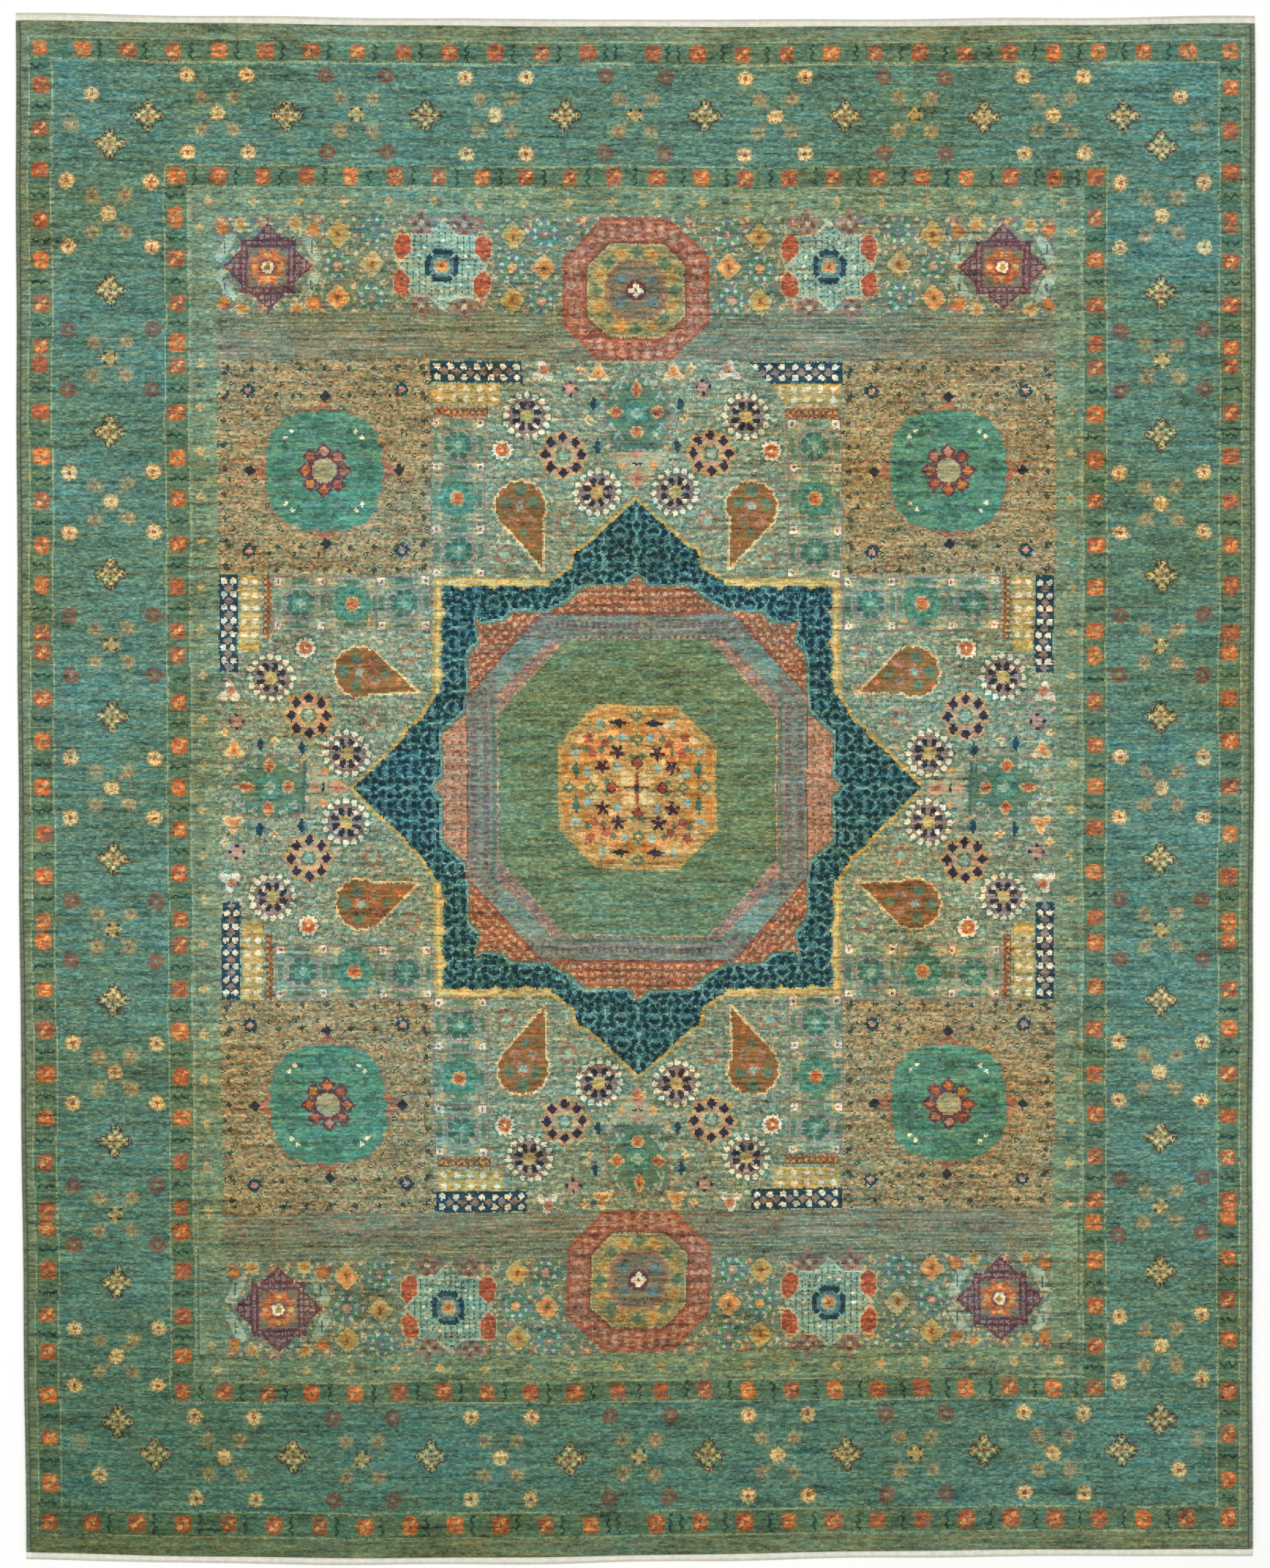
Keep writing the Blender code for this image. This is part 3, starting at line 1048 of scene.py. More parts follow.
draw(star_gold, mirrored(outline(*STAR)), 0, 0, 600)
inner_star = shrunk(STAR, 5)
draw(star_teal, mirrored(outline((0, 568), *inner_star[1:-2], (560, 0), (0, 0))), 0, 0, 600)

# Round the square corners the gold line thickens into a row of arches with cream between their feet.
foot = lambda u: 9 * np.abs((u + 22) % 61 / 30.5 - 1) ** 3
for depth, wool in ((15, star_gold), (11, pale_gold), (5, star_gold)):
    reach_in = (lambda u: depth + foot(u)) if depth > 10 else (lambda u: depth)
    draw(wool, mirrored(lambda x, y: (y > 412 - reach_in(x)) & (y < 412) & (x > 172) & (x < 400)), 0, 0, 430)
    draw(wool, mirrored(lambda x, y: (x > 400 - reach_in(y)) & (x < 400) & (y > 184) & (y < 412)), 0, 0, 430)

LEAVES = (
    "v...kk....kk...kk....",
    "v..kkkk..kkkk.kkkk...",
    "v..kkkk..kkkk.kkkk...",
    "v...kk.v.kkkk..kk..v.",
    "v.....v..v..v.....v..",
    "v.kk.v..v.bb.v..kk.v.",
    "vkkkk..v.bbbb.v.kkkkv",
    "vkkkk.v.k....k.vkkkk.",
    "v.kkk..kkkkkkkk.kkkk.",
    ".v.k..v.kkkkkk.v.kk.v",
    "..v.kk.v.kkkk.v.kk.v.",
    "k.vkkkk.v....v.kkkk..",
    "kk.kkkk..v..v..kkkk.k",
    "kk..kkk...vv...kkk..k",
    "k.v..k.vkkk.kk.k..v.k",
    ".v....v.kkk.kk..v..v.",
)
repeat(LEAVES, {"k": star_ink, "v": vine, "b": sky_blue}, star_teal, sides=4)

CORAL = (
    (0, 423),
    (15, 411),
    (22, 400),
    (104, 400),
    (141, 368),
    (176, 349),
    (179, 341),
    (189, 348),
    (248, 346),
    (266, 328),
    (307, 322),
    (321, 336),
    (311, 286),
    (331, 266),
    (334, 246),
    (332, 192),
    (338, 148),
    (386, 108),
    (386, 23),
    (396, 14),
    (406, 0),
    (0, 0),
)
wider = tuple((x + 3.5 if x else 0, y + 3.5 if y else 0) for x, y in CORAL)
draw(vine, mirrored(outline(*wider)), 0, 0, 430)
draw(leaf_green, mirrored(outline(*CORAL)), 0, 0, 430)
draw(ring_coral, mirrored(outline(*shrunk(CORAL, 3.5))), 0, 0, 430)
draw(ring_tan, lambda x, y: np.abs(y) < np.abs(x) * 0.52, 0, 0, 430, only=[ring_coral])
BEADS = ("..g.....", ".ccc.gg.", ".ccc.cc.", "..c..cc.", "........")
for wool in (ring_coral, ring_tan):
    repeat(BEADS, {"c": ring_cream, "g": garnet}, wool, sides=8)

band = octagon(333, 341, 189, 176)
draw(garnet, octagon(336, 344, 191, 178), 0, 0, 360)
draw(slope_blue, band, 0, 0, 360)
draw(grey_band, lambda x, y: band(x, y) & ((np.abs(y) > 294) | (np.abs(x) > 276)), 0, 0, 360)
repeat(("....", "tt..", "tt..", "tt..", "tt..", "....", "....", "...."), {"t": band_tick}, grey_band, sides=8)
for inner_y, inner_x, wool in ((311, 291, mauve), (303, 283, leaf_green)):
    draw(wool, lambda x, y: (np.abs(np.abs(y) - inner_y) < 1.9) & (np.abs(x) < 168), 0, 0, 340)
    draw(wool, lambda x, y: (np.abs(np.abs(x) - inner_x) < 1.9) & (np.abs(y) < 172), 0, 0, 340)
draw(slope_rose, octagon(297, 307, 158, 158), 0, 0, 320, only=[slope_blue])
repeat(("mm.cc...", "mmm.c...", ".....mm."), {"m": mauve, "c": ring_cream}, slope_rose, sides=8)
repeat(("........", "..v...m.", "........"), {"m": mauve, "v": vine}, slope_blue, sides=8)
draw(straw, octagon(276, 295, 141, 141), 0, 0, 320, only=[grey_band, mauve, leaf_green])
draw(olive_field, octagon(273, 292, 140, 140), 0, 0, 320)

draw(gold, octagon(156, 163, 79, 83), 0, 0, 170)
draw(old_gold, octagon(152, 159, 78, 80), 0, 0, 170)
draw(amber, spots(block(26, 6), (51, 150)), 0, 0, 170)
draw(amber, spots(block(6, 24), (141, 53)), 0, 0, 170)
draw(cream, spots(block(22, 1.5), (52, 154)), 0, 0, 170)
for wool, shape, places in (
    (amber, flower(22, 5, 0.3), ((22, 118), (112, 24), (60, 60), (92, 62))),
    (flame, flower(19, 5, 0.4), ((95, 99), (69, 73), (82, 84), (52, 104))),
    (brick, flower(11, 5, 0.3), ((95, 99), (63, 88), (88, 68))),
    (cream, flower(9, 4, 0.4), ((52, 52), (60, 124), (112, 92), (84, 20))),
    (leaf_green, flower(8, 4, 0.4), ((70, 72), (100, 76), (50, 96), (10, 62), (60, 10))),
    (leaf_green, diamond(15, 13), ((0, 97), (91, 0), (0, 143), (134, 0))),
    (olive_gold, diamond(7, 6), ((0, 97), (91, 0), (0, 143), (134, 0))),
    (night, turned(diamond(7, 22)), ((35, 128),)),
    (night, diamond(5, 11), ((32, 128),)),
    (deep_frame, diamond(7, 22), ((121, 34),)),
    (deep_frame, diamond(11, 5), ((121, 38),)),
    (plum, flower(16, 5, 0.6, pi / 5), ((39, 70), (69, 41))),
    (sky, flower(10, 4, 0.4), ((27, 100), (99, 29), (40, 41))),
    (sky, block(5, 8), ((70, 128),)),
    (sky, block(10, 5), ((124, 69),)),
    (plum, diamond(14), ((0, 49), (50, 0))),
    (russet, diamond(11), ((0, 49), (50, 0))),
    (cream, octagon(14, 14, 8, 8), ((18, 19),)),
):
    draw(wool, spots(shape, *places), 0, 0, 170)
draw(russet, block(3, 31), 0, 0, 170)
draw(walnut, block(26, 2.6), 0, 0, 170)
draw(night, diamond(9), 0, 0, 170)


# ---- The knotted pile ----
# Each knot of dyed wool is tied round two warps, one colour for each square of the draft, in rows
# packed down by two shoots of weft. The cut ends stand 9 mm high and round over at the rim.

PILE_BASE = 1000 * WEAVE_THICKNESS
PILE_HEIGHT = 1000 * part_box("knotted_body")[1][2]
RIM_FALL = (2.7, 0.5, 0.1)  # millimetres the first rows in from the rim stand lower
LONGEST_RUN = 28  # knots in a row drawn as one face, so that long runs still follow the edges
knots_across, knots_along = round(2 * HALF_WIDTH / KNOT), round(2 * HALF_LENGTH / KNOT)


# The near panel was woven a little too high and too narrow, and higher at its right than its left.
PANEL_LIFT, PANEL_SLANT, PANEL_SQUEEZE = 12, 0.009, 0.011  # millimetres, then two shares


def knotted_chart():
    """The draft read off knot by knot, with the small wanderings of hand knotting."""
    x = (np.arange(knots_across) + 0.5) * 2 * HALF_WIDTH / knots_across - HALF_WIDTH
    y = (np.arange(knots_along) + 0.5) * 2 * HALF_LENGTH / knots_along - HALF_LENGTH
    # The two inner guards were pressed outwards, which moves them but not the field.
    y = y - np.interp(y, (-1506, -1449, -1196, -1090, 1090, 1196, 1449, 1506), (0, 4, 9, -2, -2, 9, 4, 0))
    x, y = np.meshgrid(x, y)
    near = np.interp(y, (-1190, -1110, -900, -600), (0, 1, 1, 0))
    x, y = x * (1 + PANEL_SQUEEZE * near * (np.abs(x) < 870)), y - near * (PANEL_LIFT + PANEL_SLANT * x)
    inside = np.clip(np.minimum(HALF_WIDTH - np.abs(x), HALF_LENGTH - np.abs(y)) / 60, 0, 1)
    slips = np.random.default_rng(9).normal(0, 0.6, (2, *x.shape))
    drift_x = 1.3 * np.sin(y / 61 + x / 230) + 0.9 * np.sin(y / 23 + 2) + slips[0]
    drift_y = 1.3 * np.sin(x / 83 + y / 310 + 1) + 0.9 * np.sin(x / 31) + slips[1]
    column = ((x + inside * drift_x + HALF_WIDTH) / SQUARE).astype(int).clip(0, columns - 1)
    row = ((y + inside * drift_y + HALF_LENGTH) / SQUARE).astype(int).clip(0, rows - 1)
    return draft[row, column]


chart = knotted_chart()

# The pile is cut into a few rectangles, so that each is a light mesh: two end borders, two side
# borders, and the field in three parts.
side_cut, end_cut = round((HALF_WIDTH - 868) / KNOT), round((HALF_LENGTH - 1160) / KNOT)
field_cut = round((HALF_LENGTH - 424) / KNOT)
left, right, bottom, top = side_cut, knots_across - side_cut, end_cut, knots_along - end_cut
patches = {
    "pile_end_border_near": (0, knots_across, 0, bottom),
    "pile_end_border_far": (0, knots_across, top, knots_along),
    "pile_side_border_left": (0, left, bottom, top),
    "pile_side_border_right": (right, knots_across, bottom, top),
    "pile_field_near": (left, right, bottom, field_cut),
    "pile_medallion": (left, right, field_cut, knots_along - field_cut),
    "pile_field_far": (left, right, knots_along - field_cut, top),
}

# A run of one yarn along a row is one strip of faces. split marks where runs begin, and line where a
# corner is needed on each line between two rows, so that neighbours always share their corners.
split = np.ones((knots_along, knots_across + 1), bool)
split[:, 1:-1] = chart[:, 1:] != chart[:, :-1]
split[:, ::LONGEST_RUN] = True
split[:, [1, 2, 3, left, right, -4, -3, -2]] = True
line = np.zeros((knots_along + 1, knots_across + 1), bool)
line[:-1] |= split
line[1:] |= split
wide = knots_across + 1
corner = np.flatnonzero(line)


def strip_triangles():
    """Corner indices of every triangle, with its row and the column where it starts."""
    here, after = corner[:-1], corner[1:]
    index = np.arange(len(corner) - 1)
    same_line = here // wide == after // wide
    row, start, end = here // wide, here % wide, after % wide
    lower = same_line & (row < knots_along)
    above = np.searchsorted(corner, (row[lower] + 1) * wide + end[lower], "left") - 1
    first = np.stack([index[lower], index[lower] + 1, above], 1)
    upper = same_line & (row > 0)
    below = np.searchsorted(corner, (row[upper] - 1) * wide + end[upper], "right") - 1
    second = np.stack([below, index[upper] + 1, index[upper]], 1)
    rows_of = np.concatenate([row[lower], row[upper] - 1])
    return np.concatenate([first, second]), rows_of, np.concatenate([start[lower], start[upper]])


triangles, triangle_row, triangle_column = strip_triangles()
corner_row, corner_column = corner // wide, corner % wide
corner_x, corner_y = lie(corner_column / knots_across, corner_row / knots_along)
from_rim = np.minimum.reduce(
    [corner_column, knots_across - corner_column, corner_row, knots_along - corner_row]
)
fall = np.array([*RIM_FALL, 0.0])[np.minimum(from_rim, len(RIM_FALL))]
corner_z = (PILE_HEIGHT - fall) * MM


def named_mesh(name, points, faces):
    """A mesh from numpy arrays: faces is a list of arrays, each of faces with one number of corners."""
    mesh = bpy.data.meshes.new(name)
    loops = np.concatenate([part.ravel() for part in faces])
    counts = np.concatenate([np.full(len(part), part.shape[1]) for part in faces])
    mesh.vertices.add(len(points))
    mesh.vertices.foreach_set("co", points.astype(np.float32).ravel())
    mesh.loops.add(len(loops))
    mesh.loops.foreach_set("vertex_index", loops.astype(np.int32))
    mesh.polygons.add(len(counts))
    mesh.polygons.foreach_set("loop_start", (np.cumsum(counts) - counts).astype(np.int32))
    mesh.update(calc_edges=True)
    return mesh, loops


def colour_table(place):
    return np.array([(*linear(entry[place]), entry[place + 1] if place else 1.0) for entry in yarns])


wool_colours = {"wool": colour_table(0), "stray": colour_table(1), "other": colour_table(3)}


def pile_patch(name, x1, x2, y1, y2):
    """One rectangle of pile as a closed mesh: its cut face, its walls and its underside."""
    mine = (triangle_row >= y1) & (triangle_row < y2) & (triangle_column >= x1) & (triangle_column < x2)
    used, faces = np.unique(triangles[mine], return_inverse=True)
    faces = faces.reshape(-1, 3)
    c, r = corner_column[used], corner_row[used]
    edge_lists = (
        np.flatnonzero(r == y1)[np.argsort(c[r == y1])],
        np.flatnonzero(c == x2)[np.argsort(r[c == x2])],
        np.flatnonzero(r == y2)[np.argsort(-c[r == y2])],
        np.flatnonzero(c == x1)[np.argsort(-r[c == x1])],
    )
    rim = np.concatenate([side[:-1] for side in edge_lists])
    count = len(used)
    points = np.stack([corner_x[used], corner_y[used], corner_z[used]], 1)
    foot = points[rim].copy()
    foot[:, 2] = PILE_BASE * MM
    base = np.arange(len(rim)) + count
    walls = np.stack([base, np.roll(base, -1), np.roll(rim, -1), rim], 1)
    mesh, loops = named_mesh(name, np.concatenate([points, foot]), [faces, walls, base[None, ::-1]])
    knot = np.concatenate([np.stack([c, r], 1), np.stack([c[rim], r[rim]], 1)]).astype(np.float32)
    sheet = (knot - (x1, y1)) / (x2 - x1, y2 - y1)
    under = np.zeros(len(loops), bool)
    under[-len(rim) :] = True
    sheet = sheet[loops] * (0.98, 0.92) + (0.01, 0.01)
    sheet[under, 1] = 0.95 + (sheet[under, 1] - 0.01) * 0.04
    mesh.uv_layers.new(name="OFBake").data.foreach_set("uv", sheet.astype(np.float32).ravel())
    mesh.uv_layers.new(name="knots").data.foreach_set("uv", knot[loops].ravel())
    pick = chart[triangle_row[mine], triangle_column[mine]]
    wall_pick = chart[np.minimum(r[rim], knots_along - 1), np.minimum(c[rim], knots_across - 1)]
    pick = np.concatenate([pick, wall_pick, pick[:1]])
    for key, table in wool_colours.items():
        mesh.attributes.new(key, "FLOAT_COLOR", "FACE").data.foreach_set("color", table[pick].ravel())
    return mesh


# Hand-spun, hand-dyed wool, knotted and shorn: matt with a faint sheen, each knot a little lighter
# or darker than the next, soft light and dark streaks along the rows that are painted shade of the
# weft between them, and wide patches of painted sheen.
# Towards the near left corner the wools were dyed darker and greener.
def knotted_wool():
    made, tree, shader = finish_material("hand-spun dyed wool, knotted and shorn")
    knots = add(tree, "ShaderNodeUVMap", {"uv_map": "knots"}).outputs["UV"]
    wide_cell = add(tree, "ShaderNodeVectorMath", {"operation": "MULTIPLY"}, at0=knots, at1=(0.45, 1, 0))
    wide_cell = add(tree, "ShaderNodeVectorMath", {"operation": "FLOOR"}, at0=wide_cell.outputs[0])
    pick = add(
        tree, "ShaderNodeTexWhiteNoise", {"noise_dimensions": "2D"}, Vector=wide_cell.outputs[0]
    ).outputs["Value"]
    cell = add(tree, "ShaderNodeVectorMath", {"operation": "FLOOR"}, at0=knots)
    tuft = add(
        tree, "ShaderNodeTexWhiteNoise", {"noise_dimensions": "2D"}, Vector=cell.outputs[0]
    ).outputs["Value"]
    colour = add(tree, "ShaderNodeAttribute", {"attribute_name": "wool"}).outputs["Color"]
    stray = add(tree, "ShaderNodeAttribute", {"attribute_name": "stray"})
    other = add(tree, "ShaderNodeAttribute", {"attribute_name": "other"})
    low = add(tree, "ShaderNodeMath", {"operation": "LESS_THAN"}, at0=pick, at1=stray.outputs["Alpha"])
    turned_pick = add(tree, "ShaderNodeMath", {"operation": "SUBTRACT"}, at0=1.0, at1=pick)
    high = add(
        tree,
        "ShaderNodeMath",
        {"operation": "LESS_THAN"},
        at0=turned_pick.outputs[0],
        at1=other.outputs["Alpha"],
    )
    for share, wool in ((low, stray), (high, other)):
        soft = add(tree, "ShaderNodeMath", {"operation": "MULTIPLY"}, at0=share.outputs[0], at1=0.75)
        colour = add(
            tree,
            "ShaderNodeMix",
            {"data_type": "RGBA"},
            at0=soft.outputs[0],
            at6=colour,
            at7=wool.outputs["Color"],
        ).outputs[2]

    def drift(scale, seed, detail):
        moved = add(
            tree,
            "ShaderNodeVectorMath",
            {"operation": "MULTIPLY_ADD"},
            at0=knots,
            at1=(*scale, 0),
            at2=(seed, seed, 0),
        )
        noise = add(
            tree,
            "ShaderNodeTexNoise",
            {"noise_dimensions": "2D"},
            Vector=moved.outputs[0],
            Scale=1.0,
            Detail=detail,
            Roughness=0.6,
        )
        return add(tree, "ShaderNodeMath", {"operation": "SUBTRACT"}, at0=noise.outputs["Fac"], at1=0.5)

    # Painted weft shade in streaks 50 to 200 knots long and 2 or 3 rows deep, blotches a few knots
    # wide, broad dye lots, and wider patches of painted sheen.
    # Painted shade of the weft: light and dark streaks along the rows of knots.
    painted_weft_shade = drift((0.02, 0.34), 11.0, 2.0)
    blotch = drift((0.16, 0.5), 37.0, 2.0)
    lot = drift((0.006, 0.012), 71.0, 1.0)
    # Painted sheen: wide soft patches, lighter and darker across the pile.
    patch = drift((0.03, 0.09), 53.0, 2.0)
    hue = drift((0.05, 0.3), 91.0, 2.0)
    light = 0.97
    for source, amount in ((painted_weft_shade, 1.35), (blotch, 1.3), (patch, 0.75), (lot, 0.35)):
        light = add(
            tree,
            "ShaderNodeMath",
            {"operation": "MULTIPLY_ADD"},
            at0=source.outputs[0],
            at1=amount,
            at2=light,
        ).outputs[0]
    tuft = add(tree, "ShaderNodeMath", {"operation": "MULTIPLY_ADD"}, at0=tuft, at1=0.4, at2=-0.2)
    light = add(tree, "ShaderNodeMath", {"operation": "ADD"}, at0=light, at1=tuft.outputs[0]).outputs[0]
    tint = (1, 1, 1)
    for source, amount in ((lot, (-0.5, 0.0, 0.6)), (hue, (1.1, 0.0, -0.7))):
        tint = add(
            tree,
            "ShaderNodeVectorMath",
            {"operation": "MULTIPLY_ADD"},
            at0=source.outputs[0],
            at1=amount,
            at2=tint,
        ).outputs[0]
    tinted = add(tree, "ShaderNodeVectorMath", {"operation": "MULTIPLY"}, at0=colour, at1=tint)
    shaded = add(tree, "ShaderNodeVectorMath", {"operation": "SCALE"}, at0=tinted.outputs[0], Scale=light)

    # The darker lot: strongest at one corner of the near end, gone a third of the way along.
    split_knots = add(tree, "ShaderNodeSeparateXYZ", Vector=knots).outputs
    near = add(tree, "ShaderNodeMapRange", Value=split_knots["Y"], at1=360.0, at2=0.0, at3=0.0, at4=1.0)
    across = add(tree, "ShaderNodeMapRange", Value=split_knots["X"], at1=820.0, at2=60.0, at3=0.3, at4=1.0)
    depth = add(tree, "ShaderNodeMath", {"operation": "MULTIPLY"}, at0=near.outputs[0], at1=across.outputs[0])
    darker = add(
        tree,
        "ShaderNodeMix",
        {"data_type": "RGBA"},
        at0=depth.outputs[0],
        at6=(1, 1, 1, 1),
        at7=(0.62, 0.63, 0.48, 1),
    )
    deep = add(
        tree, "ShaderNodeVectorMath", {"operation": "MULTIPLY"}, at0=shaded.outputs[0], at1=darker.outputs[2]
    )
    tree.links.new(deep.outputs[0], shader.inputs["Base Color"])
    place = add(tree, "ShaderNodeTexCoord").outputs["Object"]
    nap = add(tree, "ShaderNodeTexNoise", Vector=place, Scale=420.0, Detail=3.0, Roughness=0.6)
    bump = add(tree, "ShaderNodeBump", Height=nap.outputs["Fac"], Strength=0.5, Distance=0.0012)
    tree.links.new(bump.outputs["Normal"], shader.inputs["Normal"])
    shader.inputs["Roughness"].default_value = 0.95
    shader.inputs["Specular IOR Level"].default_value = 0.2
    shader.inputs["Sheen Weight"].default_value = 0.08
    shader.inputs["Sheen Roughness"].default_value = 0.6
    return made


pile_wool = knotted_wool()
for name, (x1, x2, y1, y2) in patches.items():
    mesh = pile_patch(name, x1, x2, y1, y2)
    mesh.materials.append(pile_wool)
    patch = bpy.data.objects.new(name, mesh)
    bpy.context.scene.collection.objects.link(patch)
    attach(patch, "root")
    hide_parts("knotted_body")


# ---- The overcast sides ----
# The outer warps at each side are bundled into a flat cord and wrapped round and round with the same
# olive wool, turn against turn, which binds the edge of the rug.

WRAP_WIDTH, WRAP_HEIGHT = 0.0104, 0.0064
WRAP_PITCH, WRAP_THICKNESS = 0.0032, 0.0046
SIDE_GAP = 0.0003


def tree_with(name, sizes):
    """A new geometry node tree with a geometry input and output, and an input for each size."""
    tree = bpy.data.node_groups.new(name, "GeometryNodeTree")
    tree.interface.new_socket("Geometry", in_out="INPUT", socket_type="NodeSocketGeometry")
    tree.interface.new_socket("Geometry", in_out="OUTPUT", socket_type="NodeSocketGeometry")
    keys = {}
    for label, value in sizes.items():
        kinds = {float: "NodeSocketFloat", int: "NodeSocketInt", bpy.types.Material: "NodeSocketMaterial"}
        socket = tree.interface.new_socket(label, in_out="INPUT", socket_type=kinds[type(value)])
        keys[label] = socket.identifier
    return tree, keys, tree.nodes.new("NodeGroupInput").outputs


def made_by(tree, keys, sizes, guide, name):
    """Run the tree on a guide object, and keep the result as a plain mesh object."""
    modifier = guide.modifiers.new(name, "NODES")
    modifier.node_group = tree
    for label, value in sizes.items():
        modifier[keys[label]] = value
    graph = bpy.context.evaluated_depsgraph_get()
    mesh = bpy.data.meshes.new_from_object(guide.evaluated_get(graph))
    mesh.name = name
    bpy.data.objects.remove(guide)
    piece = bpy.data.objects.new(name, mesh)
    bpy.context.scene.collection.objects.link(piece)
    return piece


def line_guide(name, lines, **marks):
    """A mesh of open lines, each a list of points, with a value for each line under each mark."""
    points = [point for one in lines for point in one]
    ends = np.cumsum([len(one) for one in lines])
    segments = [(i, i + 1) for i in range(len(points) - 1) if i + 1 not in ends]
    mesh = bpy.data.meshes.new(name)
    mesh.from_pydata(points, segments, [])
    for mark, values in marks.items():
        spread = np.repeat(values, [len(one) for one in lines]).astype(np.float32)
        mesh.attributes.new(mark, "FLOAT", "POINT").data.foreach_set("value", spread)
    guide = bpy.data.objects.new(name, mesh)
    bpy.context.scene.collection.objects.link(guide)
    return guide


# Olive wool yarn, overcast: matt, with a painted highlight on the crown of each turn and painted
# shade between the turns, drawn as a noise of lighter and darker olive in bands across the edge.
def overcast_wool():
    made, tree, shader = finish_material("olive wool yarn, overcast")
    place = add(tree, "ShaderNodeTexCoord").outputs["Object"]
    stretched = add(tree, "ShaderNodeMapping", Vector=place, Scale=(60, 190, 60))
    noise = add(tree, "ShaderNodeTexNoise", Vector=stretched.outputs[0], Scale=1.0, Detail=3.0)
    # Lighter and darker olive: painted highlight on the crowns and painted shade between the turns.
    ramp = add(tree, "ShaderNodeValToRGB", Fac=noise.outputs["Fac"])
    ramp.color_ramp.elements[0].position = 0.3
    ramp.color_ramp.elements[1].position = 0.7
    ramp.color_ramp.elements[0].color = (*linear("#4f5e46"), 1)
    ramp.color_ramp.elements[1].color = (*linear("#7d8a6c"), 1)
    tree.links.new(ramp.outputs["Color"], shader.inputs["Base Color"])
    shader.inputs["Roughness"].default_value = 0.9
    shader.inputs["Sheen Weight"].default_value = 0.08
    return made


overcast_sizes = {
    "Turn Pitch": WRAP_PITCH,
    "Turn Thickness": WRAP_THICKNESS,
    "Width": WRAP_WIDTH,
    "Height": WRAP_HEIGHT,
    "Seed": 7,
    "Wool": overcast_wool(),
}
tree, keys, given = tree_with("overcasting", overcast_sizes)
path = add(tree, "GeometryNodeMeshToCurve", Mesh=given["Geometry"])
stations = add(
    tree, "GeometryNodeResampleCurve", {"mode": "LENGTH"}, Curve=path.outputs[0], Length=given["Turn Pitch"]
)
turn_shape = add(tree, "GeometryNodeMeshUVSphere", Segments=8, Rings=4, Radius=0.5)
uneven = add(
    tree, "FunctionNodeRandomValue", {"data_type": "FLOAT_VECTOR"}, at0=(0.93, 0.9, 0.93), at1=(1.0, 1.1, 1.0)
)
tree.links.new(given["Seed"], uneven.inputs["Seed"])
size = add(
    tree, "ShaderNodeCombineXYZ", X=given["Width"], Y=given["Turn Thickness"], Z=given["Height"]
)
size = add(
    tree, "ShaderNodeVectorMath", {"operation": "MULTIPLY"}, at0=size.outputs[0], at1=uneven.outputs[0]
)
turns = add(
    tree,
    "GeometryNodeInstanceOnPoints",
    Points=stations.outputs[0],
    Instance=turn_shape.outputs["Mesh"],
    Rotation=(0, 0, 0.14),
    Scale=size.outputs[0],
)
real = add(tree, "GeometryNodeRealizeInstances", Geometry=turns.outputs[0])
dressed = add(tree, "GeometryNodeSetMaterial", Geometry=real.outputs[0], Material=given["Wool"])
tree.links.new(dressed.outputs[0], tree.nodes.new("NodeGroupOutput").inputs[0])

for name, edge, outward in (("selvedge_left", "left", -1), ("selvedge_right", "right", 1)):
    along, out = edges[edge]
    middle = out + outward * (SIDE_GAP + WRAP_WIDTH / 2 - 0.0004)
    fine = np.linspace(along[0] + 0.002, along[-1] - 0.002, 120)
    points = [(x, y, WRAP_HEIGHT / 2) for x, y in zip(np.interp(fine, along, middle), fine)]
    side = made_by(tree, keys, overcast_sizes, line_guide(name + "_line", [points]), "wrapped_" + name)
    for face in side.data.polygons:
        face.use_smooth = True
    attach(side, "root")
    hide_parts(name)


# ---- The flat-woven ends ----
# Beyond the pile the warps are woven with thick cotton weft for about 13 mm at each end, cream
# inside, with painted shade greying the outer line where the ends were trimmed and turned.

STRIP_DEPTH = {"top": 0.0142, "bottom": 0.0126}
STRIP_CORDS = 4
STRIP_WANDER, STRIP_WAVES = 0.0009, 5.5
WEAVE_STATIONS_LONG = 407  # an odd number, so that neighbouring cords rise and fall in turn


# Undyed cotton, woven in thick cords: matt and cream, with painted shade making the outermost cord
# grey-beige where it turns down.
def woven_cotton():
    made, tree, shader = finish_material("undyed cotton cord, flat woven")
    outer = add(tree, "ShaderNodeAttribute", {"attribute_name": "outward"}).outputs["Fac"]
    # Cream on the inner cords, darkening to grey-beige on the outermost: painted shade of the turned edge.
    ramp = add(tree, "ShaderNodeValToRGB", Fac=outer)
    ramp.color_ramp.elements[0].color = (*linear("#efeede"), 1)
    ramp.color_ramp.elements[1].color = (*linear("#cfcdba"), 1)
    middle = ramp.color_ramp.elements.new(0.62)
    middle.color = (*linear("#e9e6d6"), 1)
    place = add(tree, "ShaderNodeTexCoord").outputs["Object"]
    noise = add(tree, "ShaderNodeTexNoise", Vector=place, Scale=90.0, Detail=3.0)
    dust = add(
        tree, "ShaderNodeMapRange", Value=noise.outputs["Fac"], at1=0.3, at2=0.7, at3=0.86, at4=1.04
    )
    shade = add(
        tree, "ShaderNodeVectorMath", {"operation": "SCALE"}, at0=ramp.outputs["Color"], Scale=dust.outputs[0]
    )
    tree.links.new(shade.outputs[0], shader.inputs["Base Color"])
    shader.inputs["Roughness"].default_value = 0.92
    return made


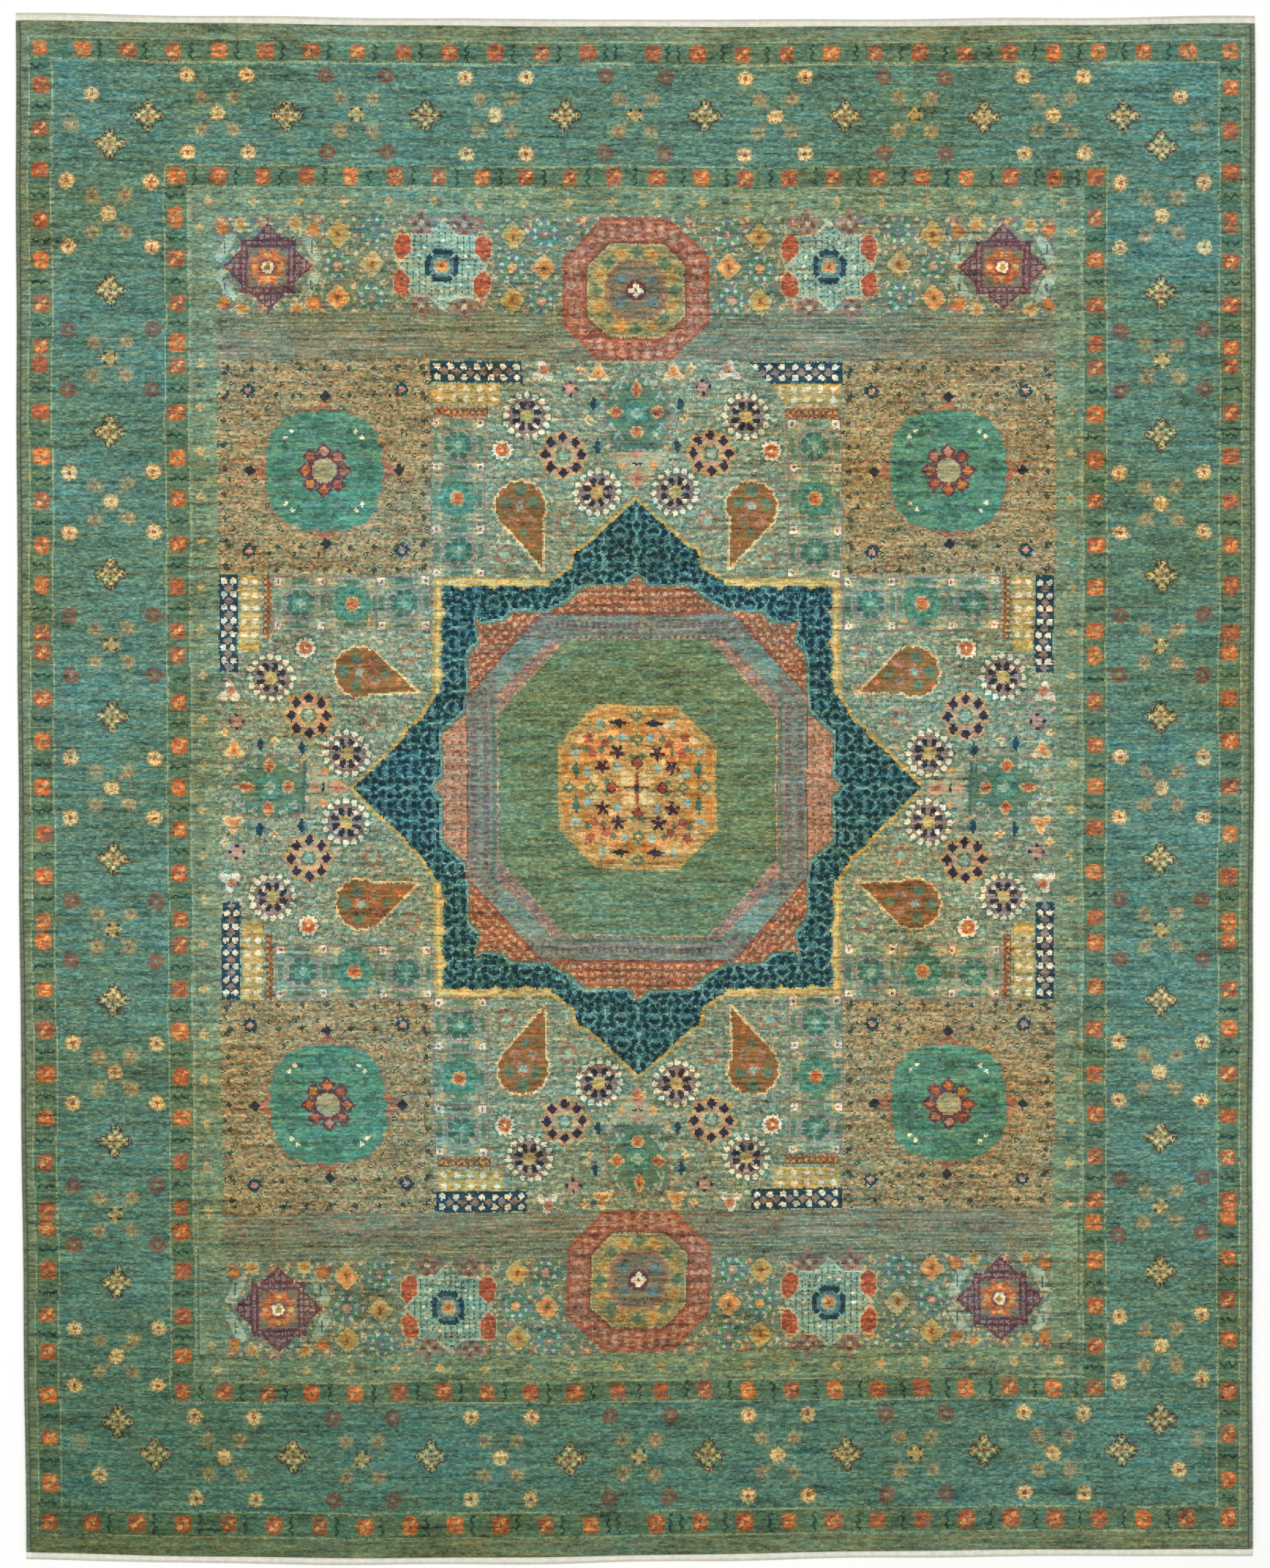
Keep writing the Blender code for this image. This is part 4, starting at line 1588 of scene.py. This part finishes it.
weave_sizes = {
    "Stations": WEAVE_STATIONS_LONG,
    "Cord Width": 0.0044,
    "Rise": 0.0005,
    "Cotton": woven_cotton(),
}
tree, keys, given = tree_with("end weave", weave_sizes)
path = add(tree, "GeometryNodeMeshToCurve", Mesh=given["Geometry"])
stations = add(
    tree, "GeometryNodeResampleCurve", {"mode": "COUNT"}, Curve=path.outputs[0], Count=given["Stations"]
)
index = add(tree, "GeometryNodeInputIndex")
odd = add(tree, "ShaderNodeMath", {"operation": "MODULO"}, at0=index.outputs[0], at1=2.0)
rise = add(tree, "ShaderNodeMath", {"operation": "MULTIPLY"}, at0=odd.outputs[0], at1=given["Rise"])
shift = add(tree, "ShaderNodeCombineXYZ", Z=rise.outputs[0])
waved = add(tree, "GeometryNodeSetPosition", Geometry=stations.outputs[0], Offset=shift.outputs[0])
round_profile = add(tree, "GeometryNodeCurvePrimitiveCircle", {"mode": "RADIUS"}, Resolution=6, Radius=0.5)
flat = add(tree, "ShaderNodeCombineXYZ", X=given["Cord Width"], Y=0.0021, Z=1.0)
profile = add(tree, "GeometryNodeTransform", Geometry=round_profile.outputs[0], Scale=flat.outputs[0])
cords = add(
    tree,
    "GeometryNodeCurveToMesh",
    Curve=waved.outputs[0],
    at1=profile.outputs[0],
)
cords.inputs["Fill Caps"].default_value = True
real = add(tree, "GeometryNodeRealizeInstances", Geometry=cords.outputs[0])
dressed = add(tree, "GeometryNodeSetMaterial", Geometry=real.outputs[0], Material=given["Cotton"])
tree.links.new(dressed.outputs[0], tree.nodes.new("NodeGroupOutput").inputs[0])

for name, edge, outward in (("end_strip_top", "top", 1), ("end_strip_bottom", "bottom", -1)):
    along, out = edges[edge]
    strip_low, strip_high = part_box(name)
    fine = np.linspace(strip_low[0] + 0.001, strip_high[0] - 0.001, 160)
    base = np.interp(fine, along, out)
    share = (fine - fine[0]) / (fine[-1] - fine[0])
    wander = STRIP_WANDER * np.sin(2 * pi * STRIP_WAVES * share)
    lines = []
    for cord in range(STRIP_CORDS):
        reach = (cord + 0.5) / STRIP_CORDS
        y = base + outward * (0.0003 + reach * STRIP_DEPTH[edge] + reach * wander)
        lines.append([(a, b, 0.00125) for a, b in zip(fine, y)])
    marks = np.arange(STRIP_CORDS) / (STRIP_CORDS - 1)
    strip = made_by(
        tree, keys, weave_sizes, line_guide(name + "_line", lines, outward=marks), "woven_" + name
    )
    for face in strip.data.polygons:
        face.use_smooth = True
    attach(strip, "root")
    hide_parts(name)


# ---- Floor, light and camera ----
# A plain pale floor under a wide soft light, seen from straight above.

floor_mesh = bpy.data.meshes.new("floor")
floor_mesh.from_pydata(
    [(-30, -30, -0.0004), (30, -30, -0.0004), (30, 30, -0.0004), (-30, 30, -0.0004)], [], [(0, 1, 2, 3)]
)
floor = bpy.data.objects.new("floor", floor_mesh)
bpy.context.scene.collection.objects.link(floor)
floor_paint, _, shader = finish_material("matt white studio floor")
shader.inputs["Base Color"].default_value = (*linear("#fbfbfa"), 1)
shader.inputs["Roughness"].default_value = 0.9
shader.inputs["Specular IOR Level"].default_value = 0.1
floor_mesh.materials.append(floor_paint)

world = bpy.data.worlds.new("pale studio")
bpy.context.scene.world = world
world.use_nodes = True
world.node_tree.nodes["Background"].inputs["Color"].default_value = (1, 1, 1, 1)
world.node_tree.nodes["Background"].inputs["Strength"].default_value = 0.5

lamp = bpy.data.lights.new("soft box", "AREA")
lamp.shape = "RECTANGLE"
lamp.size = 7.0
lamp.size_y = 7.0
lamp.energy = 312.0
soft_box = bpy.data.objects.new("soft box", lamp)
soft_box.location = (-0.4, 0.6, 6.0)
soft_box.rotation_euler = (-0.09, -0.07, 0)
bpy.context.scene.collection.objects.link(soft_box)
bpy.context.scene.view_settings.view_transform = "Standard"

VIEW_HEIGHT, VIEW_CENTRE = 3.086, (-0.0013, 0.0096)
lens = bpy.data.cameras.new("overhead")
lens.sensor_fit = "VERTICAL"
lens.sensor_height = 36.0
lens.lens = 200.0
lens.clip_end = 100.0
camera = bpy.data.objects.new("overhead", lens)
camera.location = (*VIEW_CENTRE, VIEW_HEIGHT * lens.lens / lens.sensor_height + 0.008)
bpy.context.scene.collection.objects.link(camera)
bpy.context.scene.camera = camera
